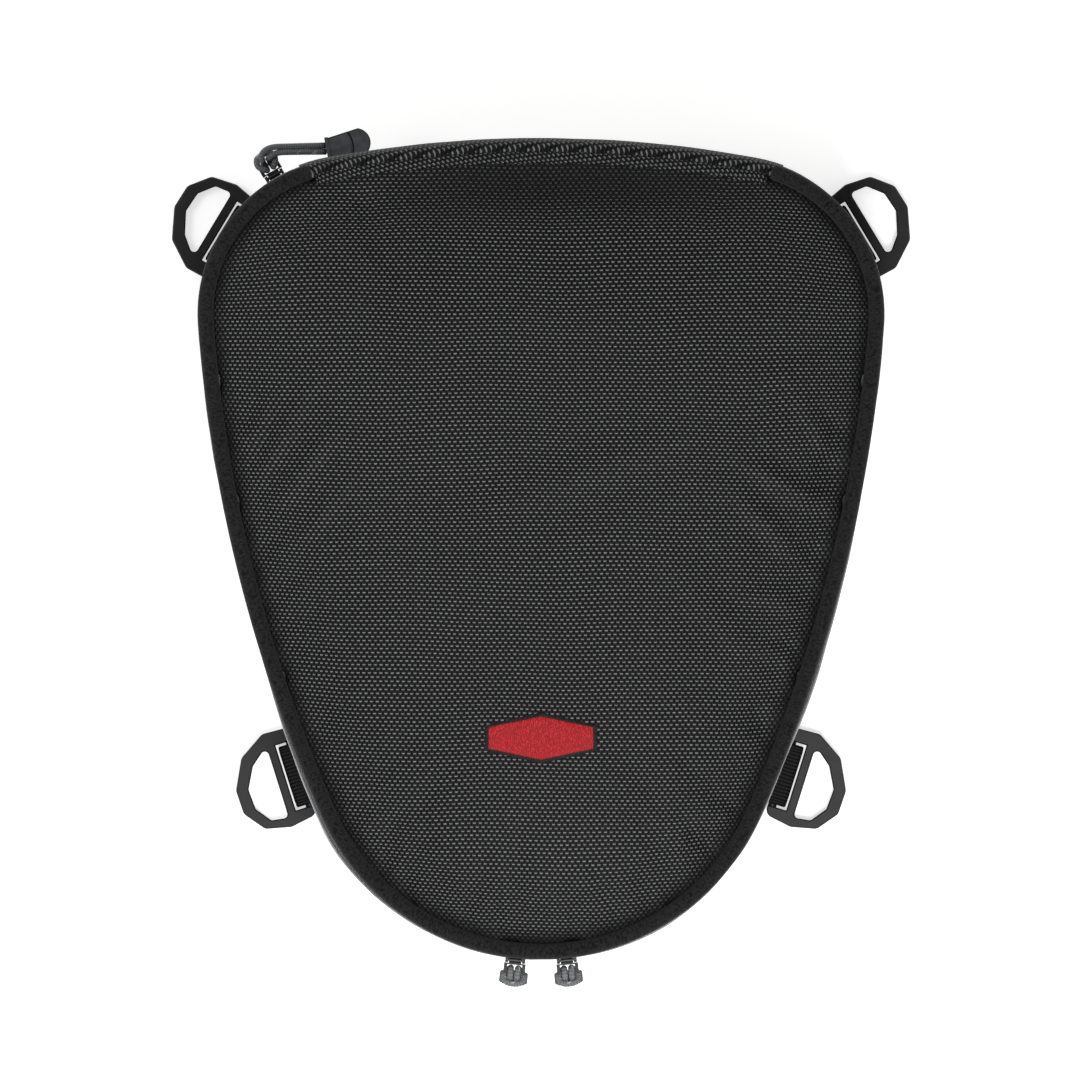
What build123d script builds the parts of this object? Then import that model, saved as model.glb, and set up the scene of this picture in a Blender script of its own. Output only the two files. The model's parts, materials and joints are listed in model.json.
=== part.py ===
"""Strap-mounted motorcycle tank bag: expanding lower half, zipped lid, four D-rings.

Millimetres. +Z is up, -Y is the narrow nose, +Y the wide rear. The origin lies on the
underside of the base, so the bag stands on the plane z = 0.
"""

import os
from math import atan2, cos, degrees, hypot, pi, radians, sin, sqrt, tan

from build123d import *

# Plan outline of the lid's edge: nose, flank, shoulder and rear arcs, tangent to each other
nose_radius = 93.3
flank_radius = 583.0
shoulder_radius = 61.0
rear_radius = 462.0
flank_reach = 135.0
nose_y = -160.6
rear_y = 157.6

# Levels of the base, the walls, the two zips and the lid
base_panel_top = 1.6
wall_bottom = 3.2
lower_wall_top = 40.0
zip_band = 12.0
upper_wall_top = 85.0
lid_gap = 0.2
lid_flat_top = 103.0

# Insets of the outer faces from the plan outline
base_inset = 9.0
lower_wall_top_inset = 1.5
upper_wall_inset = 1.0
expansion_chain_inset = 3.0
main_chain_inset = 3.5

# Wall layers and the lid's edge
fabric_thickness = 1.2
foam_thickness = 4.0
lining_thickness = 0.8
layer_gap = 0.1
binding_radius = 3.2
rear_roll_radius = 2.6
joint_half_width = 90.0
rear_cut_y = 100.0

# Zips and sliders
tape_thickness = 0.8
coil_width = 2.2
coil_height = 2.0
coil_gap = 1.2
slider_length = 14.0
slider_height = 11.0
plate_gap = 2.8
plate_thickness = 1.1
post_height = 0.9
pin_out = 4.1
bar_out = 9.0
lug_radius = 1.1

# Zipper-pull cord and grip
cord_diameter = 2.4
grip_length = 17.5
grip_mouth_width = 7.6
grip_width = 11.0
grip_thickness = 4.8

# D-rings for 25 mm webbing
ring_thickness = 4.2
ring_axis_z = 3.2
bar_v = -7.3
bar_radius = 1.7
webbing_width = 25.0
webbing_thickness = 0.9

main_chain_z = upper_wall_top + zip_band / 2
expansion_chain_z = lower_wall_top + zip_band / 2
upper_wall_bottom = lower_wall_top + zip_band
lid_bottom = upper_wall_top + zip_band + lid_gap
hinge_top = main_chain_z + 1.5

os.makedirs("parts", exist_ok=True)


def finish(part, label):
    """Name a finished piece and write it."""
    part.label = label
    export_step(part, f"parts/{label}.step")


# ---------------------------------------------------------------- plan outline
nose_centre = (0.0, nose_y + nose_radius)
flank_x = flank_reach - flank_radius
flank_centre = (flank_x, nose_centre[1] + sqrt((flank_radius - nose_radius) ** 2 - flank_x**2))
rear_centre = (0.0, rear_y - rear_radius)


def shoulder_of():
    """Centre of the right shoulder arc, inside the flank and rear arcs and tangent to both."""
    to_flank = flank_radius - shoulder_radius
    to_rear = rear_radius - shoulder_radius
    across = rear_centre[0] - flank_centre[0]
    along = rear_centre[1] - flank_centre[1]
    apart = hypot(across, along)
    reach = (to_flank**2 - to_rear**2 + apart**2) / (2 * apart)
    side = sqrt(to_flank**2 - reach**2)
    return (
        flank_centre[0] + (across * reach - along * side) / apart,
        flank_centre[1] + (along * reach + across * side) / apart,
    )


shoulder_centre = shoulder_of()
left_shoulder = (-shoulder_centre[0], shoulder_centre[1])
nose_turn = degrees(atan2(nose_centre[1] - flank_centre[1], nose_centre[0] - flank_centre[0]))
flank_turn = degrees(
    atan2(shoulder_centre[1] - flank_centre[1], shoulder_centre[0] - flank_centre[0])
)
rear_turn = degrees(
    atan2(shoulder_centre[1] - rear_centre[1], shoulder_centre[0] - rear_centre[0])
)


def outline_arcs(inset):
    """The closed outline moved inwards by inset: seven arcs in the open BuildLine."""
    mirrored_flank = (-flank_centre[0], flank_centre[1])
    CenterArc(nose_centre, nose_radius - inset, -90, 90 + nose_turn)
    CenterArc(flank_centre, flank_radius - inset, nose_turn, flank_turn - nose_turn)
    CenterArc(shoulder_centre, shoulder_radius - inset, flank_turn, rear_turn - flank_turn)
    CenterArc(rear_centre, rear_radius - inset, rear_turn, 180 - 2 * rear_turn)
    CenterArc(left_shoulder, shoulder_radius - inset, 180 - rear_turn, rear_turn - flank_turn)
    CenterArc(mirrored_flank, flank_radius - inset, 180 - flank_turn, flank_turn - nose_turn)
    CenterArc(nose_centre, nose_radius - inset, 180 - nose_turn, 90 + nose_turn)


def outline(inset, z):
    """Face of the outline, moved inwards by inset, at height z."""
    with BuildSketch(Plane.XY.offset(z)) as face:
        with BuildLine():
            outline_arcs(inset)
        make_face()
    return face.sketch


def band(z_low, z_high, inset_low, inset_high, thickness):
    """Closed ring of wall between two heights, leaning from one inset to the other."""
    with BuildPart() as ring:
        loft([outline(inset_low, z_low), outline(inset_high, z_high)], ruled=True)
        inner = [outline(inset_low + thickness, z_low), outline(inset_high + thickness, z_high)]
        loft(inner, ruled=True, mode=Mode.SUBTRACT)
    return ring.part


def rear_block(z_low, z_high):
    """Block over the rear of the bag between the two ends of the main zip."""
    with BuildPart() as block:
        with BuildSketch(Plane.XY.offset(z_low)):
            with Locations((0, rear_cut_y)):
                Rectangle(2 * joint_half_width, 100, align=(Align.CENTER, Align.MIN))
        extrude(amount=z_high - z_low)
    return block.part


# ---------------------------------------------------------------- base and walls
with BuildPart() as base_panel:
    extrude(outline(base_inset, 0), amount=base_panel_top)
    bottom_edges = base_panel.faces().sort_by(Axis.Z)[0].edges()
    chamfer(bottom_edges, length=0.5)
finish(base_panel.part, "base_panel")

with BuildPart() as base_board:
    extrude(outline(base_inset + 1, base_panel_top), amount=wall_bottom - base_panel_top)
finish(base_board.part, "base_board")

wall_layers = (
    ("fabric", 0.0, fabric_thickness),
    ("foam", fabric_thickness + layer_gap, foam_thickness),
    ("lining", fabric_thickness + foam_thickness + 2 * layer_gap, lining_thickness),
)
for layer, depth, thickness in wall_layers:
    low_inset = base_inset + depth
    high_inset = lower_wall_top_inset + depth
    wall = band(wall_bottom, lower_wall_top, low_inset, high_inset, thickness)
    finish(wall, f"lower_wall_{layer}")
    depth += upper_wall_inset
    wall = band(upper_wall_bottom, upper_wall_top, depth, depth, thickness)
    finish(wall, f"upper_wall_{layer}")

band_thickness = 0.5
band_low = upper_wall_bottom + 11
band_high = band_low + 12
with BuildPart() as reflective_band:
    strip_inset = upper_wall_inset - band_thickness
    add(band(band_low, band_high, strip_inset, strip_inset, band_thickness))
    add(rear_block(band_low - 1, band_high + 1), mode=Mode.SUBTRACT)
finish(reflective_band.part, "reflective_band")

# ---------------------------------------------------------------- expansion gusset
gusset_inset = expansion_chain_inset + 2.9
with BuildPart() as expansion_gusset:
    add(band(lower_wall_top, upper_wall_bottom, gusset_inset, gusset_inset, 1.6))
finish(expansion_gusset.part, "expansion_gusset")


# ---------------------------------------------------------------- zips
def zip_half(label, chain_inset, chain_z, edge_z, open_rear):
    """Tape and coil on one side of a zip: edge_z is where the tape is sewn on."""
    side = 1 if edge_z > chain_z else -1
    coil_near = chain_z + side * coil_gap / 2
    coil_far = coil_near + side * coil_height
    parts = (
        ("tape", sorted((coil_far, edge_z)), tape_thickness),
        ("coil", sorted((coil_near, coil_far)), coil_width),
    )
    for kind, (z_low, z_high), width in parts:
        inset = chain_inset - width / 2
        with BuildPart() as strip:
            add(band(z_low, z_high, inset, inset, width))
            if open_rear:
                add(rear_block(z_low - 1, z_high + 1), mode=Mode.SUBTRACT)
        finish(strip.part, label.format(kind))


zip_half(
    "expansion_zip_{}_lower", expansion_chain_inset, expansion_chain_z, lower_wall_top, False
)
zip_half(
    "expansion_zip_{}_upper", expansion_chain_inset, expansion_chain_z, upper_wall_bottom, False
)
zip_half("main_zip_{}_lower", main_chain_inset, main_chain_z, upper_wall_top, True)
zip_half("main_zip_{}_upper", main_chain_inset, main_chain_z, lid_bottom, True)

with BuildPart() as rear_hinge_panel:
    panel_inset = upper_wall_inset + 0.2
    add(band(upper_wall_top, hinge_top, panel_inset, panel_inset, 1.4))
    add(rear_block(upper_wall_top - 1, hinge_top + 1), mode=Mode.INTERSECT)
finish(rear_hinge_panel.part, "rear_hinge_panel")

# ---------------------------------------------------------------- lid
lining_top = lid_bottom + lining_thickness
with BuildPart() as lid_lining:
    extrude(outline(1.5, lid_bottom), amount=lining_thickness)
finish(lid_lining.part, "lid_lining")

panel_edge = 2 * binding_radius + 0.3
dome_steps = ((panel_edge, lid_flat_top), (19, 108), (36, 111.5), (55, 113.5))


def dome(shrink):
    """Stepped dome of the lid, shrunk inwards and downwards by shrink."""
    with BuildPart() as lens:
        edge = outline(panel_edge + shrink, lining_top)
        extrude(edge, amount=lid_flat_top - shrink - lining_top)
        faces = [outline(inset + shrink, z - shrink) for inset, z in dome_steps]
        loft(faces, ruled=True)
    return lens.part


with BuildPart() as lid_foam:
    add(dome(1.1))
finish(lid_foam.part, "lid_foam")

with BuildPart() as lid_panel:
    add(dome(0))
    add(dome(1), mode=Mode.SUBTRACT)
finish(lid_panel.part, "lid_panel")


def edge_roll(radius):
    """Round roll of fabric that follows the lid's edge all the way round."""
    z = lining_top + radius
    inset = binding_radius
    with BuildPart() as roll:
        with BuildLine(Plane.XY.offset(z)):
            outline_arcs(inset)
        with BuildSketch(Plane(origin=(0, nose_y + inset, z), z_dir=(1, 0, 0))):
            Circle(radius)
        sweep()
    return roll.part


with BuildPart() as lid_binding:
    add(edge_roll(binding_radius))
    add(rear_block(lid_bottom, lid_flat_top + 5), mode=Mode.SUBTRACT)
finish(lid_binding.part, "lid_binding")

with BuildPart() as lid_rear_roll:
    add(edge_roll(rear_roll_radius))
    add(rear_block(lid_bottom, lid_flat_top + 5), mode=Mode.INTERSECT)
finish(lid_rear_roll.part, "lid_rear_roll")

badge_y = -74.5
badge_width = 51.0
badge_length = 26.0
with BuildPart() as badge:
    with BuildSketch(Plane.XY.offset(dome_steps[-1][1])):
        with BuildLine():
            Polyline(
                (-badge_width / 2, badge_y),
                (-badge_width / 4, badge_y - badge_length / 2),
                (badge_width / 4, badge_y - badge_length / 2),
                (badge_width / 2, badge_y),
                (badge_width / 4, badge_y + badge_length / 2),
                (-badge_width / 4, badge_y + badge_length / 2),
                close=True,
            )
        make_face()
    extrude(amount=1)
finish(badge.part, "badge")


# ---------------------------------------------------------------- sliders and pulls
def on_chain(centre, radius, azimuth, t, v):
    """Plan point t along and v outwards of the chain point at an azimuth of an arc."""
    out = (cos(radians(azimuth)), sin(radians(azimuth)))
    x = centre[0] + (radius + v) * out[0] - t * out[1]
    y = centre[1] + (radius + v) * out[1] + t * out[0]
    return (x, y)


def sector(centre, r_low, r_high, azimuth, length, z):
    """Annular sector of the given length on the mid radius, at height z."""
    half = degrees(length / (r_low + r_high))
    with BuildSketch(Plane.XY.offset(z)) as face:
        with BuildLine():
            outer = CenterArc(centre, r_high, azimuth - half, 2 * half)
            inner = CenterArc(centre, r_low, azimuth - half, 2 * half)
            Line(inner @ 0, outer @ 0)
            Line(inner @ 1, outer @ 1)
        make_face()
    return face.sketch


def slider(label, centre, radius, azimuth, z, leading):
    """Zip slider: two curved plates, the post between them, and lugs with a pin."""
    inner_face = radius - plate_gap / 2
    outer_face = radius + plate_gap / 2
    low = z - slider_height / 2
    post_at = azimuth + leading * degrees((slider_length / 2 - 2) / radius)
    side_plane = Plane(
        origin=(*on_chain(centre, radius, azimuth, 0, pin_out), z),
        z_dir=(-sin(radians(azimuth)), cos(radians(azimuth)), 0),
        x_dir=(cos(radians(azimuth)), sin(radians(azimuth)), 0),
    )
    with BuildPart() as body:
        for r_low in (inner_face - plate_thickness, outer_face):
            plate = sector(centre, r_low, r_low + plate_thickness, azimuth, slider_length, low)
            extrude(plate, amount=slider_height)
        corners = body.edges().filter_by(lambda edge: abs(edge.length - plate_thickness) < 0.05)
        chamfer(corners, length=2.2)
        post = sector(centre, inner_face, outer_face, post_at, 2.6, z - post_height / 2)
        extrude(post, amount=post_height)
        for side in (-1, 1):
            with BuildSketch(side_plane.offset(side * 3.3)):
                Circle(lug_radius)
                with Locations((-lug_radius, 0)):
                    Rectangle(2 * lug_radius, 2 * lug_radius)
            extrude(amount=0.6, both=True)
        with BuildSketch(side_plane.offset(-2.8)):
            Circle(0.55)
        extrude(amount=5.6)
    finish(body.part, label)


def puller_tab(label, centre, radius, azimuth, z):
    """Small puller on the slider's pin, with a window and an outer bar for the cord."""
    flat = Plane(
        origin=(*on_chain(centre, radius, azimuth, 0, 0), z),
        x_dir=(cos(radians(azimuth)), sin(radians(azimuth)), 0),
        z_dir=(0, 0, 1),
    )
    barrel_plane = Plane(
        origin=(*on_chain(centre, radius, azimuth, 0, pin_out), z),
        x_dir=flat.x_dir,
        z_dir=flat.y_dir,
    )
    shoulder = pin_out + lug_radius + 0.15
    window_in = shoulder + 0.6
    window_out = bar_out - 0.6
    with BuildPart() as tab:
        with BuildSketch(barrel_plane):
            Circle(1.3)
        extrude(amount=2.4, both=True)
        with BuildSketch(flat.offset(-0.75)):
            with BuildLine():
                Polyline(
                    (pin_out, -2.4),
                    (shoulder, -2.4),
                    (shoulder, -4.2),
                    (bar_out + 0.6, -4.2),
                    (bar_out + 0.6, 4.2),
                    (shoulder, 4.2),
                    (shoulder, 2.4),
                    (pin_out, 2.4),
                    close=True,
                )
            make_face()
            with Locations(((window_in + window_out) / 2, 0)):
                Rectangle(window_out - window_in, 5.8, mode=Mode.SUBTRACT)
        extrude(amount=1.5)
        with BuildSketch(barrel_plane):
            Circle(0.75)
        extrude(amount=3, both=True, mode=Mode.SUBTRACT)
    finish(tab.part, label)


def cord_tube(label, points):
    """Round cord through its route: straight runs joined by arcs as large as fit."""
    runs = [(end - start).length for start, end in zip(points, points[1:])]
    radii = []
    for i in range(1, len(points) - 1):
        turn = (points[i] - points[i - 1]).get_angle(points[i + 1] - points[i])
        radii.append(0.45 * min(runs[i - 1], runs[i]) / tan(radians(turn / 2)))
    with BuildPart() as tube:
        with BuildLine() as path:
            FilletPolyline(*points, radius=radii)
        start = path.wires()[0]
        with BuildSketch(Plane(origin=start @ 0, z_dir=start % 0)):
            Circle(cord_diameter / 2)
        sweep()
    swept = pi * cord_diameter**2 / 4 * start.length
    print(label, "radii", [round(r, 1) for r in radii], "length", round(start.length, 1))
    print(label, "volume over section times length", round(tube.part.volume / swept, 4))
    finish(tube.part, label)


def grip(label, mouth, along, across):
    """Moulded end grip: tapered, rounded at the end, with a collar and an arc groove."""
    plane = Plane(origin=mouth, x_dir=along, z_dir=along.cross(across))
    mouth_half = grip_mouth_width / 2
    half = grip_width / 2
    end = grip_length
    with BuildPart() as body:
        with BuildSketch(plane):
            with BuildLine():
                Polyline((end - 4, -half), (0, -mouth_half), (0, mouth_half), (end - 4, half))
                ThreePointArc((end - 4, half), (end, 0), (end - 4, -half))
            make_face()
        extrude(amount=grip_thickness / 2, both=True)
        fillet(body.faces().filter_by(plane).edges(), radius=0.9)
        with BuildSketch(plane):
            with Locations((0.7, 0)):
                Rectangle(1.4, grip_mouth_width + 1)
        extrude(amount=grip_thickness / 2 + 0.4, both=True)
        for face_side in (-1, 1):
            with BuildSketch(plane.offset(face_side * (grip_thickness / 2 - 0.3))):
                with BuildLine():
                    ThreePointArc((8.6, -5.2), (10.0, 0), (8.6, 5.2))
                    offset(amount=0.35)
                make_face()
            extrude(amount=face_side * 1, mode=Mode.SUBTRACT)
    finish(body.part, label)


# Cord routes round the puller's outer bar, as (t, v, w): along, outwards of and above the bar
hanging_half = [
    (2.5, 4.3, -0.9),
    (3.75, 2.5, -1.9),
    (3.7, 0.4, -2.2),
    (1.6, -1.85, -2.1),
    (1.25, -1.85, 2.1),
    (1.25, 1.85, 2.1),
    (1.25, 1.85, -5.5),
    (1.4, 2.3, -16.0),
    (1.25, 1.85, -29.0),
]
laid_hitch_half = [
    (2.5, 4.3, 0.9),
    (3.75, 2.5, 1.9),
    (3.7, 0.4, 2.2),
    (1.6, -1.85, 2.1),
    (1.25, -1.85, -2.1),
    (1.25, 1.85, -2.1),
]
laid_outer_strand = [
    (1.25, 1.85, 3.9),
    (0.4, 4.9, 5.2),
    (-3.9, 5.6, 5.0),
    (-11.0, 1.7, 3.3),
    (-23.2, -4.9, 0.0),
]
laid_inner_strand = [
    (-1.25, 1.85, 4.4),
    (-4.8, 2.6, 4.9),
    (-11.5, -1.0, 3.2),
    (-22.0, -7.0, 0.0),
]


def other_side(points):
    """The same points on the other side of the puller's middle."""
    return [(-t, v, w) for t, v, w in points]


hanging_route = other_side(hanging_half)[::-1] + hanging_half
laid_route = (
    laid_inner_strand[::-1]
    + other_side(laid_hitch_half)[::-1]
    + laid_hitch_half
    + laid_outer_strand
)


def from_bar(centre, radius, azimuth, z, point):
    """Part coordinates of a point given along, outwards of and above the puller's bar."""
    t, v, w = point
    return Vector(*on_chain(centre, radius, azimuth, t, bar_out + v), z + w)


def pull(name, centre, radius, azimuth, z, route, grip_along):
    """Puller tab, cord and grip of one slider."""
    points = [from_bar(centre, radius, azimuth, z, point) for point in route]
    puller_tab(f"{name}_puller_tab", centre, radius, azimuth, z)
    cord_tube(f"{name}_pull_cord", points)
    mouth = (points[0] + points[-1]) / 2
    across = points[-1] - points[0]
    across = (across - grip_along * across.dot(grip_along)).normalized()
    grip(f"{name}_pull_grip", mouth, grip_along, across)


nose_chain = nose_radius - main_chain_inset
shoulder_chain = shoulder_radius - expansion_chain_inset
main_slider_offset = 6.1
expansion_azimuth = 120.0
grip_azimuth = 10.7

for name, azimuth, leading in (
    ("main_left", -90 - main_slider_offset, 1),
    ("main_right", -90 + main_slider_offset, -1),
):
    slider(f"{name}_slider", nose_centre, nose_chain, azimuth, main_chain_z, leading)
    pull(
        name, nose_centre, nose_chain, azimuth, main_chain_z, hanging_route, Vector(0, 0, -1)
    )

slider(
    "expansion_slider", left_shoulder, shoulder_chain, expansion_azimuth, expansion_chain_z, 1
)
pull(
    "expansion",
    left_shoulder,
    shoulder_chain,
    expansion_azimuth,
    expansion_chain_z,
    laid_route,
    Vector(cos(radians(grip_azimuth)), sin(radians(grip_azimuth)), 0),
)

tab_azimuth = expansion_azimuth - 15
tab_in = shoulder_chain + plate_gap / 2
with BuildPart() as zip_end_tab:
    extrude(
        sector(left_shoulder, tab_in, tab_in + 1.4, tab_azimuth, 7, lower_wall_top + 1),
        amount=zip_band - 2,
    )
    corners = zip_end_tab.edges().filter_by(lambda edge: abs(edge.length - 1.4) < 0.01)
    fillet(corners, radius=2.5)
finish(zip_end_tab.part, "expansion_zip_end_tab")


# ---------------------------------------------------------------- D-rings and their webbing
with BuildPart() as bag_body:
    loft([outline(base_inset, 0), outline(base_inset, wall_bottom)], ruled=True)
    loft(
        [outline(base_inset, wall_bottom), outline(lower_wall_top_inset, lower_wall_top)],
        ruled=True,
    )

ring_outline = (
    (-9.0, -18.5),
    (2.2, -19.0),
    (12.6, -12.5),
    (18.4, -1.0),
    (18.2, 8.5),
    (12.0, 16.5),
    (2.0, 18.8),
    (-9.0, 17.0),
)
ring_opening = ((2.0, -14.0), (9.2, -8.2), (13.6, 0.0), (13.2, 8.0), (8.7, 14.0), (2.0, 15.0))
slot_out = -1.5


def ring_face(points, side, radius):
    """Rounded polygon in the open sketch, flipped along the bar by side."""
    with BuildSketch(mode=Mode.PRIVATE) as face:
        with BuildLine():
            Polyline(*[(v, side * a) for v, a in points], close=True)
        make_face()
        fillet(face.vertices(), radius=radius)
    return face.sketch


def d_ring(name, x, y, azimuth, side):
    """Moulded D-ring lying flat, and the folded webbing that holds it by its round inner bar."""
    out = (cos(radians(azimuth)), sin(radians(azimuth)), 0)
    plane = Plane(origin=(x, y, ring_axis_z), x_dir=out, z_dir=(0, 0, 1))
    side_plane = Plane(origin=(x, y, ring_axis_z), x_dir=out, z_dir=(out[1], -out[0], 0))
    slot_length = webbing_width + 1.4
    with BuildPart() as ring:
        with BuildSketch(plane.offset(-ring_thickness / 2)):
            add(ring_face(ring_outline, side, 3.2))
            add(ring_face(ring_opening, side, 1.6), mode=Mode.SUBTRACT)
            with Locations((slot_out, 0)):
                Rectangle(
                    10, slot_length, align=(Align.MAX, Align.CENTER), mode=Mode.SUBTRACT
                )
        extrude(amount=ring_thickness)
        flat_faces = ring.faces().filter_by(Axis.Z)
        chamfer(flat_faces.edges(), length=0.5)
        with BuildSketch(side_plane):
            with Locations((bar_v, 0)):
                Circle(bar_radius)
        extrude(amount=slot_length / 2 + 1, both=True)
    finish(ring.part, f"d_ring_{name}")

    loop = bar_radius + 0.2
    outside = loop + webbing_thickness
    with BuildPart() as tab:
        with BuildSketch(side_plane):
            with BuildLine():
                Polyline(
                    (-26, -outside),
                    (bar_v, -outside),
                    (bar_v, outside),
                    (bar_v - 5, outside),
                    (-26, 0.5),
                    close=True,
                )
            make_face()
            with Locations((bar_v, 0)):
                Circle(outside)
                Circle(loop, mode=Mode.SUBTRACT)
        extrude(amount=webbing_width / 2, both=True)
        add(bag_body.part, mode=Mode.SUBTRACT)
        add(tab.solids().sort_by(SortBy.VOLUME)[-1], mode=Mode.INTERSECT)
    finish(tab.part, f"webbing_tab_{name}")


rear_ring = (126.0, 123.0)
rear_ring_azimuth = 31.0
front_ring = (100.5, -90.5)
front_ring_azimuth = -17.5
d_ring("rear_right", *rear_ring, rear_ring_azimuth, 1)
d_ring("rear_left", -rear_ring[0], rear_ring[1], 180 - rear_ring_azimuth, -1)
d_ring("front_right", *front_ring, front_ring_azimuth, -1)
d_ring("front_left", -front_ring[0], front_ring[1], 180 - front_ring_azimuth, 1)
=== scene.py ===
"""Motorcycle tank bag: the visible pieces, their finishes and the studio.

Metres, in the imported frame: +Z up, -Y the narrow nose, +Y the wide rear.
"""

import json
import math

import bmesh
import bpy
from bpy.props import FloatProperty, PointerProperty, StringProperty
from mathutils import Matrix, Vector, noise
from mathutils.bvhtree import BVHTree


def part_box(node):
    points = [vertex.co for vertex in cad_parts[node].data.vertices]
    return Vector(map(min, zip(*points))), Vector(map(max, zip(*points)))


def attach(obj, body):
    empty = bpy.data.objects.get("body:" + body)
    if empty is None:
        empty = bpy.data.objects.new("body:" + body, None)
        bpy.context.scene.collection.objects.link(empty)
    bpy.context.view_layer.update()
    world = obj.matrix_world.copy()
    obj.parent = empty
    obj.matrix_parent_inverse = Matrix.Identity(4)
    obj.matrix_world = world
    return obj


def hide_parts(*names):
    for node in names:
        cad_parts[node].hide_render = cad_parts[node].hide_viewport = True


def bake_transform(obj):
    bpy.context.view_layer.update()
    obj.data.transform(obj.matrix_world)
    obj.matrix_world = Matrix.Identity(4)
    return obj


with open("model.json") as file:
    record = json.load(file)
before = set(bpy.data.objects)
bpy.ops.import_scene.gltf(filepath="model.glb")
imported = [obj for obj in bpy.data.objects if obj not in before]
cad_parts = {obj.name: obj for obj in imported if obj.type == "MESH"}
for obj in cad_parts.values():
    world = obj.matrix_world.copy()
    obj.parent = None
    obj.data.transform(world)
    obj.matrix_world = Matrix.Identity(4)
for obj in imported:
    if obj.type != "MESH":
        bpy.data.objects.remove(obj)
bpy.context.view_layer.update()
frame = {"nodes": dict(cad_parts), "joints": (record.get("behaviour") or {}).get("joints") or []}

bl_info = {
    "name": "Motorcycle tank bag",
    "version": (1, 0, 0),
    "blender": (4, 5, 0),
    "location": "3D View > Sidebar > Tank bag",
    "description": "Builds the cloth, zips, pulls, webbing and studio of a tank bag",
    "category": "Object",
}

MM = 0.001


def joint(name):
    return next(found for found in frame["joints"] if found["name"] == name)


def top_of(node):
    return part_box(node)[1][2]


def bottom_of(node):
    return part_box(node)[0][2]


def middle_of(node):
    return (bottom_of(node) + top_of(node)) / 2


# ------------------------------------------------------------------ settings
def length(name, description, default):
    return FloatProperty(name=name, description=description, default=default, unit="LENGTH")


def hex_colour(name, description, default):
    return StringProperty(name=name, description=description, default=default)


class BagSizes(bpy.types.PropertyGroup):
    nose_radius: length("Nose radius", "Radius of the nose arc", 0.0933)
    flank_radius: length("Flank radius", "Radius of both flanks", 0.583)
    shoulder_radius: length("Shoulder radius", "Radius of both shoulders", 0.061)
    rear_radius: length("Rear radius", "Radius of the rear arc", 0.462)
    flank_reach: length("Flank reach", "From the middle to a flank circle's widest point", 0.135)
    nose_y: length("Nose", "Y of the nose's tip", -0.1606)
    rear_y: length("Rear", "Y of the rear's middle", 0.1576)
    yarn_pitch: length("Yarn pitch", "Between floats along a row of the weave", 0.00223)
    yarn_row: length("Yarn row", "Between rows of the ballistic weave", 0.00155)
    tooth_pitch: length("Tooth pitch", "Between turns of a zip coil", 0.0018)
    cord_diameter: length("Cord diameter", "Thickness of the braided pull cord", 0.0024)


class BagColours(bpy.types.PropertyGroup):
    # painted sheen: the light colour laid on each float's crown, the yarn itself being near black
    float_sheen: hex_colour("Float yarn", "Bright crown of a nylon float", "#777879")
    warp_yarn: hex_colour("Warp yarn", "Nylon between the floats", "#131314")
    gap: hex_colour("Gap", "Shade between yarns", "#020202")
    binding: hex_colour("Binding", "Knitted binding", "#111111")
    reflective: hex_colour("Reflective", "Glass-bead tape", "#8A8D92")
    cord: hex_colour("Cord", "Braided cord", "#777B7D")
    cord_fleck: hex_colour("Fleck", "Light fleck in the cord", "#C4C7C8")
    grip: hex_colour("Grip", "Moulded pull grip", "#5E5F64")
    plastic: hex_colour("Plastic", "Moulded rings", "#121213")
    emblem: hex_colour("Emblem", "Embroidery thread", "#B01822")
    lining: hex_colour("Lining", "Inside cloth", "#6C6F72")


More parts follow.
